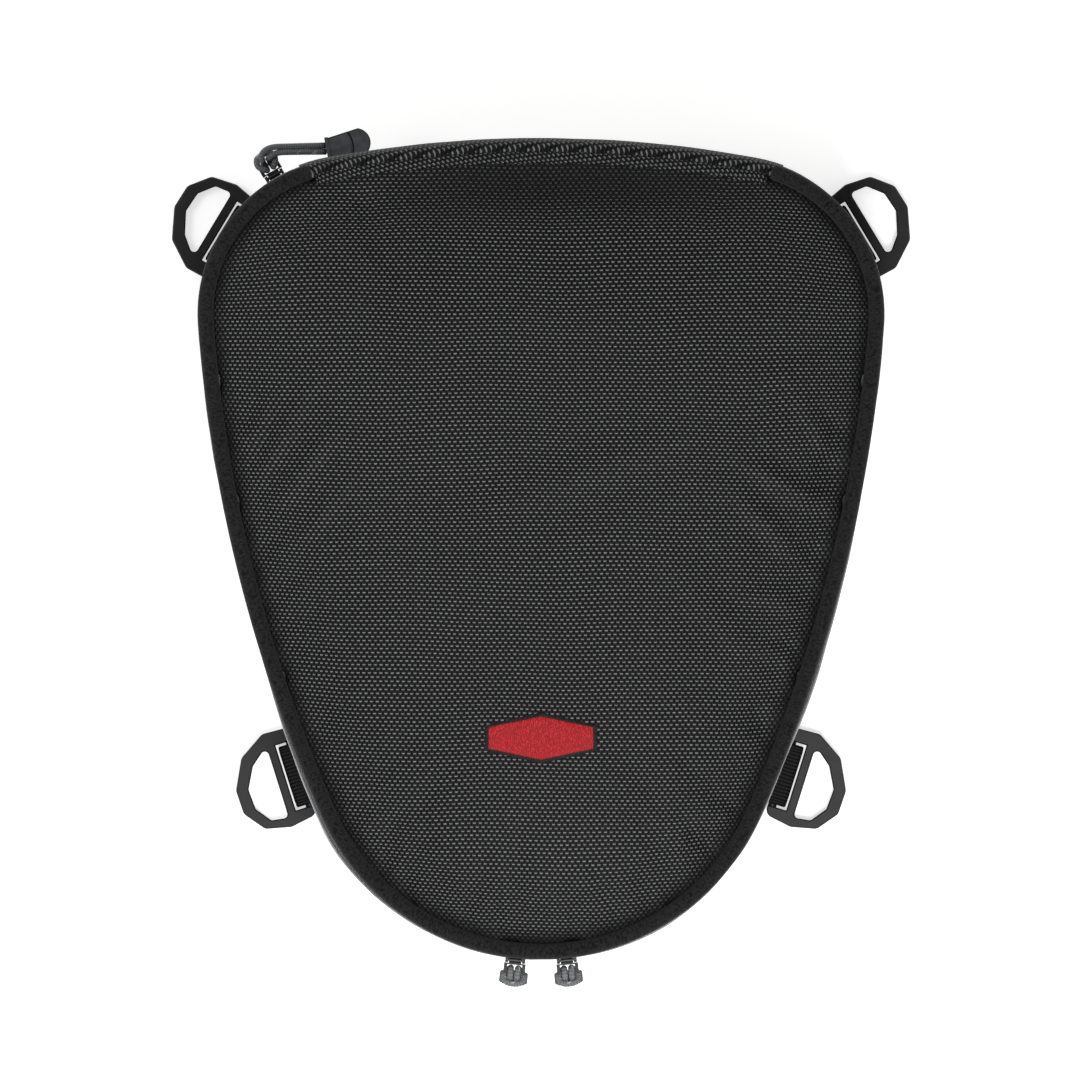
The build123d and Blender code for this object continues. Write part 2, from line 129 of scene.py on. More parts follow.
# ------------------------------------------------------------------ plan outline
class Outline:
    """The bag's edge seen from above: seven tangent arcs, measured from the nose's tip."""

    def __init__(self, sizes):
        nose = Vector((0.0, sizes.nose_y + sizes.nose_radius))
        flank_x = sizes.flank_reach - sizes.flank_radius
        across = math.sqrt((sizes.flank_radius - sizes.nose_radius) ** 2 - flank_x**2)
        flank = Vector((flank_x, nose.y + across))
        rear = Vector((0.0, sizes.rear_y - sizes.rear_radius))
        to_flank = sizes.flank_radius - sizes.shoulder_radius
        to_rear = sizes.rear_radius - sizes.shoulder_radius
        apart = rear - flank
        reach = (to_flank**2 - to_rear**2 + apart.length_squared) / (2 * apart.length)
        side = math.sqrt(to_flank**2 - reach**2)
        along = apart.normalized()
        shoulder = flank + along * reach + Vector((-along.y, along.x)) * side
        turns = [
            math.atan2(nose.y - flank.y, nose.x - flank.x),
            math.atan2(shoulder.y - flank.y, shoulder.x - flank.x),
            math.atan2(shoulder.y - rear.y, shoulder.x - rear.x),
        ]
        half = [
            (nose, sizes.nose_radius, -math.pi / 2, turns[0]),
            (flank, sizes.flank_radius, turns[0], turns[1]),
            (shoulder, sizes.shoulder_radius, turns[1], turns[2]),
            (rear, sizes.rear_radius, turns[2], math.pi / 2),
        ]
        other = [
            (Vector((-c.x, c.y)), r, math.pi - end, math.pi - start)
            for c, r, start, end in reversed(half)
        ]
        self.arcs = half + other
        self.starts = [0.0]
        for _, radius, start, end in self.arcs:
            self.starts.append(self.starts[-1] + radius * (end - start))
        self.total = self.starts[-1]

    def spans(self, first, last):
        """(centre, radius, angle) of each arc between two distances along the outline.

        first may be negative, for a run that passes the nose's tip.
        """
        for lap in (-self.total, 0.0):
            for (centre, radius, start, end), begin in zip(self.arcs, self.starts):
                low = max(first, begin + lap)
                high = min(last, begin + lap + radius * (end - start))
                if high - low > 1e-6:
                    yield centre, radius, (high - low) / radius

    def place(self, distance, inset=0.0):
        """Plan point and outward direction at a distance along the outline."""
        distance %= self.total
        for (centre, radius, start, end), begin in zip(self.arcs, self.starts):
            if distance <= begin + radius * (end - start) + 1e-9:
                angle = start + (distance - begin) / radius
                out = Vector((math.cos(angle), math.sin(angle)))
                return centre + out * (radius - inset), out
        raise ValueError("distance is off the outline")

    def locate(self, x, y):
        """(distance along the outline, inset from it) of a plan point."""
        right = abs(x)
        for index, (centre, radius, start, end) in enumerate(self.arcs[:4]):
            angle = math.atan2(y - centre.y, right - centre.x)
            if angle <= end + 1e-9 or index == 3:
                break
        angle = min(max(angle, start), end)
        distance = self.starts[index] + radius * (angle - start)
        inset = radius - math.hypot(right - centre.x, y - centre.y)
        if x < 0:
            distance = self.total - distance
        return distance, inset


# ------------------------------------------------------------------ mesh helpers
def only(items, kind):
    """The vertices, edges or faces of a bmesh operator's result."""
    return [item for item in items if isinstance(item, kind)]


def finish_piece(bm, name, body, material, replaced=(), smooth=True):
    """Turn a bmesh into an object at the origin that rides on its body."""
    bmesh.ops.remove_doubles(bm, verts=bm.verts, dist=2e-6)
    bmesh.ops.recalc_face_normals(bm, faces=bm.faces)
    mesh = bpy.data.meshes.new(name)
    bm.to_mesh(mesh)
    bm.free()
    piece = bpy.data.objects.new(name, mesh)
    bpy.context.scene.collection.objects.link(piece)
    for polygon in mesh.polygons:
        polygon.use_smooth = smooth
    mesh.materials.append(material)
    if body:
        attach(piece, body)
    if replaced:
        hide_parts(*replaced)
    return piece


def add_modifier(piece, kind, **settings):
    modifier = piece.modifiers.new(kind.title(), kind)
    for name, value in settings.items():
        setattr(modifier, name, value)
    return modifier


def subdivide(piece, levels=1):
    add_modifier(piece, "SUBSURF", levels=levels, render_levels=levels)


def carry(outline, profile, first=0.0, last=None, step=0.004, closed=True):
    """Carry a profile of (inset, height) points in millimetres along the outline."""
    whole = last is None
    last = outline.total if whole else last
    bm = bmesh.new()
    point, out = outline.place(first)
    verts = []
    for inset, height in profile:
        spot = point - out * inset * MM
        verts.append(bm.verts.new((spot.x, spot.y, height * MM)))
    pairs = list(zip(verts, verts[1:]))
    if closed:
        pairs.append((verts[-1], verts[0]))
    section = [bm.edges.new(pair) for pair in pairs]
    ends = list(section)
    for centre, radius, angle in outline.spans(first, last):
        steps = max(2, round(radius * angle / step))
        spun = bmesh.ops.spin(
            bm, geom=section, cent=(centre.x, centre.y, 0), axis=(0, 0, 1), angle=angle,
            steps=steps,
        )
        section = only(spun["geom_last"], bmesh.types.BMEdge)
    if closed and not whole:
        bmesh.ops.edgeloop_fill(bm, edges=ends)
        bmesh.ops.edgeloop_fill(bm, edges=section)
    if whole:
        bmesh.ops.remove_doubles(bm, verts=bm.verts, dist=1e-5)
    return bm


def fill_holes(bm):
    """Close every open rim with one face each."""
    rims = [edge for edge in bm.edges if edge.is_boundary]
    bmesh.ops.edgeloop_fill(bm, edges=rims)


def lay_uv(bm, outline, across, period=None):
    """Weave coordinates in metres: along the outline, and across by a function of the place."""
    layer = bm.loops.layers.uv.new("weave")
    for face in bm.faces:
        first = None
        for loop in face.loops:
            x, y, z = loop.vert.co
            distance, inset = outline.locate(x, y)
            height = across(inset, z)
            if first is None:
                first = (distance, height)
            distance -= outline.total * round((distance - first[0]) / outline.total)
            if period:
                height -= period * round((height - first[1]) / period)
            loop[layer].uv = (distance, height)


def push_out(bm, outline, amount):
    """Move each vertex outwards by amount(distance, inset, z)."""
    for vert in bm.verts:
        x, y, z = vert.co
        distance, inset = outline.locate(x, y)
        out = outline.place(distance)[1]
        shift = amount(distance, inset, z)
        vert.co.x += out.x * shift
        vert.co.y += out.y * shift


def ring_profile(inset, height, radius, count=12, flatten=1.0):
    """Round section for a roll, in millimetres."""
    turns = [2 * math.pi * k / count for k in range(count)]
    return [
        (inset - radius * math.cos(turn), height + flatten * radius * math.sin(turn))
        for turn in turns
    ]


def round_across(inset, height, radius):
    """Distance round a roll of the given section, in metres."""

    def across(at_inset, z):
        return radius * MM * math.atan2(z - height * MM, inset * MM - at_inset)

    return across


def bump(value, centre, width):
    """Smooth hill of height one."""
    return math.exp(-(((value - centre) / width) ** 2))


def clamp(value):
    return min(1.0, max(0.0, value))


# ------------------------------------------------------------------ material helpers
def linear(colour):
    """Linear RGBA from an sRGB hex string."""
    channels = [int(colour[i : i + 2], 16) / 255 for i in (1, 3, 5)]
    return [c / 12.92 if c <= 0.04045 else ((c + 0.055) / 1.055) ** 2.4 for c in channels] + [1.0]


def shaded(colour, factor):
    """The same colour, darker or lighter."""
    return [c * factor for c in colour[:3]] + [1.0]


def add_node(tree, kind, settings=None, output=0, **links):
    """Add a node; settings are its properties, links its input sockets by index or name."""
    made = tree.nodes.new(kind)
    for name, value in (settings or {}).items():
        setattr(made, name, value)
    for name, value in links.items():
        key = int(name[1:]) if name[1:].isdigit() else name.replace("_", " ")
        socket = made.inputs[key]
        if isinstance(value, bpy.types.NodeSocket):
            tree.links.new(value, socket)
        else:
            socket.default_value = value
    return made.outputs[output]


def new_material(name, **sockets):
    """Empty material with its shader; sockets are constants on the shader itself."""
    material = bpy.data.materials.new(name)
    material.use_nodes = True
    shader = material.node_tree.nodes["Principled BSDF"]
    for key, value in sockets.items():
        shader.inputs[key.replace("_", " ")].default_value = value
    return material, material.node_tree, shader


def maths(tree, operation, first, second=0.0, third=0.0):
    return add_node(
        tree, "ShaderNodeMath", {"operation": operation}, _0=first, _1=second, _2=third
    )


def blend_colours(tree, factor, first, second):
    return add_node(
        tree, "ShaderNodeMix", {"data_type": "RGBA"}, 2, _0=factor, _6=first, _7=second
    )


def paint(tree, shader, factor, first, second):
    """Mix two colours by factor into the shader's base colour."""
    tree.links.new(blend_colours(tree, factor, first, second), shader.inputs["Base Color"])


def ramp(tree, value, low, high):
    """0 below low, 1 above high, smooth between."""
    return add_node(
        tree,
        "ShaderNodeMapRange",
        {"interpolation_type": "SMOOTHSTEP"},
        Value=value,
        From_Min=low,
        From_Max=high,
    )


def fall(tree, value, low, high):
    """1 below low, 0 above high."""
    return maths(tree, "SUBTRACT", 1.0, ramp(tree, value, low, high))


def object_coordinates(tree):
    return add_node(tree, "ShaderNodeTexCoord", None, "Object")


def weave_coordinates(tree):
    return add_node(tree, "ShaderNodeUVMap", {"uv_map": "weave"})


def speckle(tree, vector, size, detail=2.0):
    """Noise whose grains are about size metres wide."""
    return add_node(tree, "ShaderNodeTexNoise", Vector=vector, Scale=1 / size, Detail=detail)


def ribs(tree, vector, direction, pitch, distortion=0.3):
    """Parallel ridges, pitch metres apart."""
    return add_node(
        tree, "ShaderNodeTexWave", {"bands_direction": direction}, Vector=vector,
        Scale=math.pi / 10 / pitch, Distortion=distortion, Detail=1.0,
    )


def set_bump(tree, shader, height, distance, strength=1.0):
    made = add_node(tree, "ShaderNodeBump", Strength=strength, Distance=distance, Height=height)
    tree.links.new(made, shader.inputs["Normal"])


def ballistic_nylon(name, colours, pitch, row, turn=0.0, lift=1.0):
    """1680-denier basket weave: floats in staggered rows over darker warp yarns, with painted sheen
    on each float's crown.

    turn rotates the cloth, as where a strip is cut on the bias. lift scales the painted sheen of
    the floats.
    """
    material, tree, shader = new_material(name, Roughness=0.6, Specular_IOR_Level=0.12)
    uv = weave_coordinates(tree)
    drift = speckle(tree, uv, 1 / 14.0, 1.0)
    waver = add_node(tree, "ShaderNodeVectorMath", {"operation": "SCALE"}, _0=drift, Scale=0.0042)
    wavy = add_node(tree, "ShaderNodeVectorMath", {"operation": "ADD"}, _0=uv, _1=waver)
    turned = add_node(tree, "ShaderNodeMapping", Vector=wavy, Rotation=(0.0, 0.0, turn))
    scaled = add_node(
        tree, "ShaderNodeMapping", Vector=turned, Scale=(1 / pitch, 1 / row, 1.0)
    )
    parts = tree.nodes.new("ShaderNodeSeparateXYZ")
    tree.links.new(scaled, parts.inputs[0])
    across, up = parts.outputs[0], parts.outputs[1]
    line = maths(tree, "FLOOR", up)
    odd = maths(tree, "MODULO", maths(tree, "ABSOLUTE", line), 2.0)
    shifted = maths(tree, "ADD", across, maths(tree, "MULTIPLY", odd, 0.5))
    a = maths(tree, "SUBTRACT", maths(tree, "FRACT", shifted), 0.5)
    b = maths(tree, "SUBTRACT", maths(tree, "FRACT", up), 0.5)
    a_squared = maths(tree, "MULTIPLY", a, a)
    smile = maths(tree, "ADD", b, maths(tree, "MULTIPLY_ADD", a_squared, -0.9, 0.06))
    long_way = maths(tree, "POWER", maths(tree, "DIVIDE", maths(tree, "ABSOLUTE", a), 0.36), 3.0)
    thick = maths(tree, "DIVIDE", maths(tree, "MULTIPLY", smile, smile), 0.23 * 0.23)
    crown = fall(tree, maths(tree, "ADD", long_way, thick), 0.15, 1.25)
    beside = maths(tree, "SUBTRACT", 0.5, maths(tree, "ABSOLUTE", a))
    cell_side = maths(tree, "DIVIDE", maths(tree, "MULTIPLY", beside, beside), 0.21 * 0.21)
    cell_end = maths(tree, "DIVIDE", maths(tree, "MULTIPLY", b, b), 0.44 * 0.44)
    cell = fall(tree, maths(tree, "ADD", cell_side, cell_end), 0.35, 1.25)
    patches = speckle(tree, uv, 0.0021, 1.0)
    shade = add_node(
        tree, "ShaderNodeMapRange", Value=patches, From_Min=0.3, From_Max=0.7, To_Min=0.6,
        To_Max=1.15 * lift,
    )
    # The gap colour is painted shade between the yarns; the float colour is painted sheen on their
    # crowns, varied in random patches.
    base = blend_colours(tree, cell, linear(colours.warp_yarn), linear(colours.gap))
    # The seam attribute holds painted shade, 0 on pieces without it: it takes the painted sheen off
    # the floats.
    seam = add_node(tree, "ShaderNodeAttribute", {"attribute_name": "seam"}, "Fac")
    painted_sheen = maths(
        tree, "MULTIPLY", maths(tree, "MULTIPLY", crown, shade), maths(tree, "SUBTRACT", 1.0, seam)
    )
    paint(tree, shader, painted_sheen, base, linear(colours.float_sheen))
    height = maths(tree, "MULTIPLY_ADD", cell, -0.5, maths(tree, "MULTIPLY", crown, 0.5))
    set_bump(tree, shader, height, 0.0006)
    return material


def knitted_binding(colours):
    """Fine matt knit: small slanting loops with fuzz, so the roll has hardly any highlight."""
    material, tree, shader = new_material(
        "knitted_binding", Roughness=0.85, Specular_IOR_Level=0.12, Sheen_Weight=0.05,
        Sheen_Roughness=0.6,
    )
    uv = weave_coordinates(tree)
    stretched = add_node(
        tree, "ShaderNodeMapping", Vector=uv, Rotation=(0.0, 0.0, 0.5),
        Scale=(1 / 0.0007, 1 / 0.0012, 1.0),
    )
    loops = add_node(tree, "ShaderNodeTexVoronoi", Vector=stretched, Scale=1.0)
    fuzz = speckle(tree, uv, 0.0005, 3.0)
    grain = maths(
        tree, "SUBTRACT", maths(tree, "MULTIPLY_ADD", fuzz, 0.7, 0.45),
        maths(tree, "MULTIPLY", loops, 0.55),
    )
    base = linear(colours.binding)
    paint(tree, shader, ramp(tree, grain, 0.25, 0.7), shaded(base, 0.2), shaded(base, 2.6))
    set_bump(tree, shader, grain, 0.0002)
    return material


def woven_webbing(colours):
    """25 mm nylon webbing: close ribs along the strap, broken by its weft."""
    material, tree, shader = new_material("woven_webbing", Roughness=0.7, Specular_IOR_Level=0.15)
    uv = weave_coordinates(tree)
    across = ribs(tree, uv, "Y", 0.0014)
    lengthways = ribs(tree, uv, "X", 0.0011)
    grain = maths(tree, "MULTIPLY", across, maths(tree, "MULTIPLY_ADD", lengthways, 0.5, 0.5))
    paint(tree, shader, grain, linear(colours.gap), linear("#2C2C2D"))
    set_bump(tree, shader, grain, 0.0004)
    return material


def zip_tape_cloth(colours):
    """Flat polyester herringbone tape."""
    material, tree, shader = new_material("zip_tape_cloth", Roughness=0.75, Specular_IOR_Level=0.15)
    uv = weave_coordinates(tree)
    bands = ribs(tree, uv, "DIAGONAL", 0.0009, 0.5)
    paint(tree, shader, bands, linear(colours.gap), linear("#1F1F20"))
    set_bump(tree, shader, bands, 0.00015)
    return material


def reflective_tape(colours):
    """Glass-bead retroreflective tape: even silver grey with a fine sparkle and faint creases."""
    material, tree, shader = new_material(
        "reflective_tape", Roughness=0.42, Metallic=0.35, Specular_IOR_Level=0.5
    )
    uv = weave_coordinates(tree)
    beads = speckle(tree, uv, 0.00035, 1.0)
    smudge = speckle(tree, uv, 0.03, 2.0)
    silver = linear(colours.reflective)
    shade = maths(tree, "MULTIPLY_ADD", beads, 0.55, maths(tree, "MULTIPLY", smudge, 0.45))
    paint(tree, shader, ramp(tree, shade, 0.35, 0.65), shaded(silver, 0.72), silver)
    set_bump(tree, shader, beads, 0.00006)
    return material


def moulded_acetal(colours):
    """Injection-moulded black acetal with a satin skin and a fine spark-eroded grain."""
    material, tree, shader = new_material("moulded_acetal", Roughness=0.42, Specular_IOR_Level=0.35)
    place = object_coordinates(tree)
    grain = speckle(tree, place, 0.0005, 2.0)
    wear = speckle(tree, place, 0.006, 3.0)
    base = linear(colours.plastic)
    paint(tree, shader, ramp(tree, wear, 0.45, 0.75), base, shaded(base, 1.7))
    rough = add_node(
        tree, "ShaderNodeMapRange", Value=wear, From_Min=0.3, From_Max=0.7, To_Min=0.36,
        To_Max=0.52,
    )
    tree.links.new(rough, shader.inputs["Roughness"])
    set_bump(tree, shader, grain, 0.00003)
    return material


def satin_black(name, colour, roughness):
    """Baked enamel on die-cast zinc, or drawn nylon coil: satin black, paler where it rubs."""
    material, tree, shader = new_material(name, Roughness=roughness, Specular_IOR_Level=0.4)
    place = object_coordinates(tree)
    patches = speckle(tree, place, 0.0016, 3.0)
    dark = linear(colour)
    paint(tree, shader, ramp(tree, patches, 0.5, 0.8), dark, shaded(dark, 2.2))
    set_bump(tree, shader, patches, 0.00005)
    return material


def braided_cord(colours):
    """Sixteen-strand braid over a core: crossing diamonds with light reflective flecks."""
    material, tree, shader = new_material("braided_cord", Roughness=0.7, Specular_IOR_Level=0.2)
    uv = weave_coordinates(tree)
    parts = tree.nodes.new("ShaderNodeSeparateXYZ")
    tree.links.new(uv, parts.inputs[0])
    around, along = parts.outputs[0], parts.outputs[1]
    lead = maths(tree, "MULTIPLY", along, 1 / 0.0019)
    turns = maths(tree, "MULTIPLY", around, 5.0)
    one = maths(tree, "SINE", maths(tree, "MULTIPLY", maths(tree, "ADD", turns, lead), math.tau))
    two = maths(
        tree, "SINE", maths(tree, "MULTIPLY", maths(tree, "SUBTRACT", turns, lead), math.tau)
    )
    strands = maths(tree, "MULTIPLY_ADD", maths(tree, "MULTIPLY", one, two), 0.5, 0.5)
    fleck_place = add_node(
        tree, "ShaderNodeCombineXYZ",
        X=maths(tree, "MULTIPLY_ADD", around, 4.0, maths(tree, "MULTIPLY", along, 500.0)),
        Y=maths(tree, "MULTIPLY", along, 150.0),
    )
    flecks = add_node(tree, "ShaderNodeTexVoronoi", Vector=fleck_place, Scale=1.0)
    base = linear(colours.cord)
    # The low places between the crossing strands are painted shade, at 0.35 of the cord's colour.
    colour = blend_colours(tree, ramp(tree, strands, 0.0, 0.6), shaded(base, 0.35), base)
    paint(tree, shader, fall(tree, flecks, 0.1, 0.24), colour, linear(colours.cord_fleck))
    set_bump(tree, shader, strands, 0.00025)
    return material


def moulded_rubber(name, colours, facing, mouth, heel):
    """Soft thermoplastic rubber of a grip, with random paler bloom; painted shade darkens its rim,
    where the surface turns from the flat faces, and rings at the arc groove and the dished end.

    facing is the flat faces' direction, mouth where the cords enter, heel the dish's centre.
    """
    material, tree, shader = new_material(name, Roughness=0.6, Specular_IOR_Level=0.2)
    place = object_coordinates(tree)
    bloom = speckle(tree, place, 0.004, 3.0)
    base = linear(colours.grip)
    colour = blend_colours(tree, ramp(tree, bloom, 0.3, 0.7), shaded(base, 0.6), base)
    normal = add_node(tree, "ShaderNodeTexCoord", None, "Normal")
    turned = add_node(
        tree, "ShaderNodeVectorMath", {"operation": "DOT_PRODUCT"}, "Value", _0=normal, _1=facing
    )
    edge = fall(tree, maths(tree, "ABSOLUTE", turned), 0.8, 0.95)
    for centre, radius, width in ((mouth, 0.0102, 0.00035), (heel, 0.0026, 0.0003)):
        reach = add_node(
            tree, "ShaderNodeVectorMath", {"operation": "DISTANCE"}, "Value", _0=place, _1=centre
        )
        off = maths(tree, "ABSOLUTE", maths(tree, "SUBTRACT", reach, radius))
        edge = maths(tree, "MAXIMUM", edge, fall(tree, off, width * 0.4, width))
    # Painted shade: near black on the rim and in the groove and dish rings.
    paint(tree, shader, edge, colour, linear("#141415"))
    set_bump(tree, shader, maths(tree, "MULTIPLY", edge, -1.0), 0.0003)
    return material


def satin_stitch(name, colour):
    """Rayon embroidery: short upright stitches laid side by side, with painted sheen where they
    arch and painted shade between them.
    """
    material, tree, shader = new_material(name, Roughness=0.55, Specular_IOR_Level=0.2)
    place = object_coordinates(tree)
    stretched = add_node(
        tree, "ShaderNodeMapping", Vector=place, Scale=(1 / 0.00045, 1 / 0.0011, 1.0)
    )
    threads = add_node(tree, "ShaderNodeTexVoronoi", Vector=stretched, Scale=1.0)
    arch = fall(tree, threads, 0.1, 0.75)
    base = linear(colour)
    light = [min(1.0, c * 1.3 + 0.015) for c in base[:3]] + [1.0]
    # Painted sheen on the arches, painted shade at 0.55 of the thread colour between stitches.
    paint(tree, shader, arch, shaded(base, 0.55), light)
    set_bump(tree, shader, arch, 0.0002)
    return material


def lining_cloth(colours):
    """Light grey 210-denier lining: fine plain weave with a faint ripstop grid."""
    material, tree, shader = new_material("lining_cloth", Roughness=0.7, Specular_IOR_Level=0.2)
    place = weave_coordinates(tree)
    line = add_node(
        tree, "ShaderNodeTexBrick", {"offset": 0.0}, "Fac", Vector=place, Scale=1.0,
        Mortar_Size=0.0004, Brick_Width=0.005, Row_Height=0.005, Mortar_Smooth=0.4,
    )
    weave = speckle(tree, place, 0.0005, 2.0)
    base = linear(colours.lining)
    colour = blend_colours(tree, ramp(tree, weave, 0.35, 0.65), shaded(base, 0.75), base)
    paint(tree, shader, line, colour, shaded(base, 1.25))
    set_bump(tree, shader, maths(tree, "ADD", weave, line), 0.00015)
    return material


def grip_sheet():
    """Anti-slip rubber sheet under the base, with rows of round nubs."""
    material, tree, shader = new_material(
        "anti_slip_rubber", Roughness=0.78, Specular_IOR_Level=0.35
    )
    place = object_coordinates(tree)
    cells = add_node(
        tree, "ShaderNodeTexVoronoi", {"voronoi_dimensions": "2D"}, Vector=place,
        Scale=1 / 0.004, Randomness=0.0,
    )
    nubs = fall(tree, cells, 0.2, 0.38)
    paint(tree, shader, nubs, linear("#101010"), linear("#2A2A2B"))
    set_bump(tree, shader, nubs, 0.0006)
    return material


MATERIALS = {}


def make_materials(settings):
    sizes, colours = settings.sizes, settings.colours
    pitch, row = sizes.yarn_pitch, sizes.yarn_row
    MATERIALS.update(
        nylon=ballistic_nylon("ballistic_nylon", colours, pitch, row),
        # the walls' and the bias strip's copies carry less painted sheen on their floats
        nylon_wall=ballistic_nylon("ballistic_nylon_wall", colours, pitch, row, 0.0, 0.8),
        nylon_bias=ballistic_nylon("ballistic_nylon_bias", colours, pitch, row, 0.78, 0.9),
        binding=knitted_binding(colours),
        webbing=woven_webbing(colours),
        tape=zip_tape_cloth(colours),
        reflective=reflective_tape(colours),
        acetal=moulded_acetal(colours),
        enamel=satin_black("black_enamel_on_zinc", "#0D0D0E", 0.42),
        coil=satin_black("nylon_zip_coil", "#121213", 0.45),
        cord=braided_cord(colours),
        emblem=satin_stitch("red_satin_stitch", colours.emblem),
        edging=satin_stitch("black_satin_stitch", "#111112"),
        lining=lining_cloth(colours),
        rubber=grip_sheet(),
    )


# ------------------------------------------------------------------ heights in millimetres
BASE_TOP = top_of("base_panel") / MM
WALL_BOTTOM = bottom_of("lower_wall_fabric") / MM
LOWER_TOP = top_of("lower_wall_fabric") / MM
UPPER_BOTTOM = bottom_of("upper_wall_fabric") / MM
UPPER_TOP = top_of("upper_wall_fabric") / MM
LID_BOTTOM = bottom_of("lid_lining") / MM
EXPANSION_Z = (LOWER_TOP + UPPER_BOTTOM) / 2
MAIN_Z = middle_of("main_left_slider") / MM
BAND_LOW = bottom_of("reflective_band") / MM
BAND_HIGH = top_of("reflective_band") / MM
BINDING_Z = middle_of("lid_binding") / MM
BINDING_R = top_of("lid_binding") / MM - BINDING_Z
ROLL_Z = middle_of("lid_rear_roll") / MM
ROLL_R = top_of("lid_rear_roll") / MM - ROLL_Z
# insets of the roll and of both zips, in millimetres, and where binding and roll meet
ROLL_INSET = 7.0
EXPANSION_INSET = 3.0
MAIN_INSET = 3.5
JOINT_X = 0.090


def outline_now():
    return Outline(bpy.context.scene.tank_bag.sizes)


def joint_distances(outline):
    """Distances of the right and the left end of the binding."""
    low, high = outline.starts[2], outline.total / 2
    for _ in range(30):
        middle = (low + high) / 2
        if outline.place(middle)[0].x > JOINT_X:
            low = middle
        else:
            high = middle
    return low, outline.total - low


def wall_bulge(outline):
    """How far the loaded cloth stands out of a wall, by distance along the outline."""
    total = outline.total
    nose_side = outline.starts[1]

    def bulge(distance):
        left = total - distance
        hill = 1.7 * bump(left, nose_side * 0.95, 0.045) + 1.3 * bump(distance, 0.17, 0.035)
        hill += 0.5 * bump(distance, 0.055, 0.03) + 0.4 * bump(left, 0.045, 0.025)
        hill += 0.5 * bump(distance, total / 2, 0.07)
        return (0.4 + hill) * MM

    return bulge


def creases(distance, z, size):
    """Small soft folds of loaded cloth."""
    place = Vector((distance * 26, z * 40, 3.7))
    fine = Vector((distance * 70, z * 55, 9.1))
    return size * (noise.noise(place) + 0.4 * noise.noise(fine))


# ------------------------------------------------------------------ walls and base
def held(z, low, high):
    """How free the cloth is at a height: 0 at the seams above and below, 1 half way."""
    return math.sin(math.pi * clamp((z / MM - low) / (high - low))) ** 0.8


def wall_heights(low, high):
    return [low + 1 + (high - low - 2) * k / 9 for k in range(10)]


def upper_wall(outline):
    """Padded wall between the two zips; gives the function that its strip follows."""
    low, high = UPPER_BOTTOM, UPPER_TOP
    profile = [(2.4, low + 0.1)] + [(1.0, z) for z in wall_heights(low, high)]
    profile += [(2.4, high - 0.1)]
    profile += [(5.6, high - 0.1), (6.4, high - 1.2), (6.4, low + 1.2), (5.6, low + 0.1)]
    bm = carry(outline, profile)
    bulge = wall_bulge(outline)

    def amount(distance, inset, z):
        outer = 1.0 if inset < 0.003 else 0.0
        return outer * held(z, low, high) * (bulge(distance) + creases(distance, z, 0.0006))

    lay_uv(bm, outline, lambda inset, z: z)
    push_out(bm, outline, amount)
    piece = finish_piece(
        bm, "upper_wall", "upper_bag", MATERIALS["nylon_wall"],
        ("upper_wall_fabric", "upper_wall_foam"),
    )
    subdivide(piece)
    return amount


def band_on_wall(outline, amount):
    """Reflective strip from one rear joint round the nose to the other."""
    right, left = joint_distances(outline)
    heights = [BAND_LOW + (BAND_HIGH - BAND_LOW) * k / 5 for k in range(6)]
    profile = [(0.55, z) for z in heights] + [(1.15, z) for z in reversed(heights)]
    bm = carry(outline, profile, left - outline.total, right)
    lay_uv(bm, outline, lambda inset, z: z)
    push_out(bm, outline, lambda distance, inset, z: amount(distance, 0.0, z))
    finish_piece(
        bm, "reflective_strip", "upper_bag", MATERIALS["reflective"],
        ("reflective_band",),
    )


def lower_wall(outline):
    """Padded wall that leans in towards the base."""
    low, high = WALL_BOTTOM, LOWER_TOP
    base, top = 9.0, 1.5

    def slope(z):
        return base + (top - base) * (z - low) / (high - low)

    profile = [(base + 1.4, low)] + [(slope(z), z) for z in wall_heights(low, high)]
    profile += [(top + 1.4, high - 0.1), (top + 4.8, high - 0.1), (top + 5.4, high - 1.2)]
    profile += [(base + 5.4, low + 1.2), (base + 4.8, low)]
    bm = carry(outline, profile)

    def amount(distance, inset, z):
        outer = 1.0 if inset / MM < slope(z / MM) + 1.0 else 0.0
        return outer * held(z, low, high) * (0.0012 + creases(distance + 3, z, 0.0008))

    lay_uv(bm, outline, lambda inset, z: z)
    push_out(bm, outline, amount)
    piece = finish_piece(
        bm, "lower_wall", "lower_bag", MATERIALS["nylon_wall"],
        ("lower_wall_fabric", "lower_wall_foam"),
    )
    subdivide(piece)


def wall_lining(outline, name, body, replaced, inset_low, inset_high, low, high):
    """Lining cloth inside a wall, stitched down in soft waves."""
    count = 8
    levels = [k / (count - 1) for k in range(count)]
    inner = [
        (inset_low + (inset_high - inset_low) * t, low + (high - low) * t) for t in levels
    ]
    profile = inner + [(inset + 0.8, z) for inset, z in reversed(inner)]
    bm = carry(outline, profile, step=0.006)
    lay_uv(bm, outline, lambda inset, z: z)
    push_out(
        bm, outline, lambda distance, inset, z: 0.0003 * math.sin(distance / 0.011) - 0.0002
    )
    finish_piece(bm, name, body, MATERIALS["lining"], replaced)


def disc(outline, profile, name, body, material, replaced):
    """Flat or pillowy sheet whose rim follows the outline."""
    bm = carry(outline, profile, step=0.005, closed=False)
    fill_holes(bm)
    layer = bm.loops.layers.uv.new("weave")
    for face in bm.faces:
        for loop in face.loops:
            loop[layer].uv = loop.vert.co.xy
    return finish_piece(bm, name, body, material, replaced)


# ------------------------------------------------------------------ lid
def lid_profile():
    """Section of the stuffed lid from its flat underside out and up to the crown."""
    bottom = LID_BOTTOM + 0.9
    return [
        (50.0, bottom),
        (3.2, bottom),
        (3.2, bottom + 2.6),
        (6.4, bottom + 3.2),
        (9.0, bottom + 5.0),
        (13.0, bottom + 7.6),
        (22.0, bottom + 10.9),
        (32.0, bottom + 12.9),
        (43.0, bottom + 14.2),
        (54.0, bottom + 15.0),
    ]


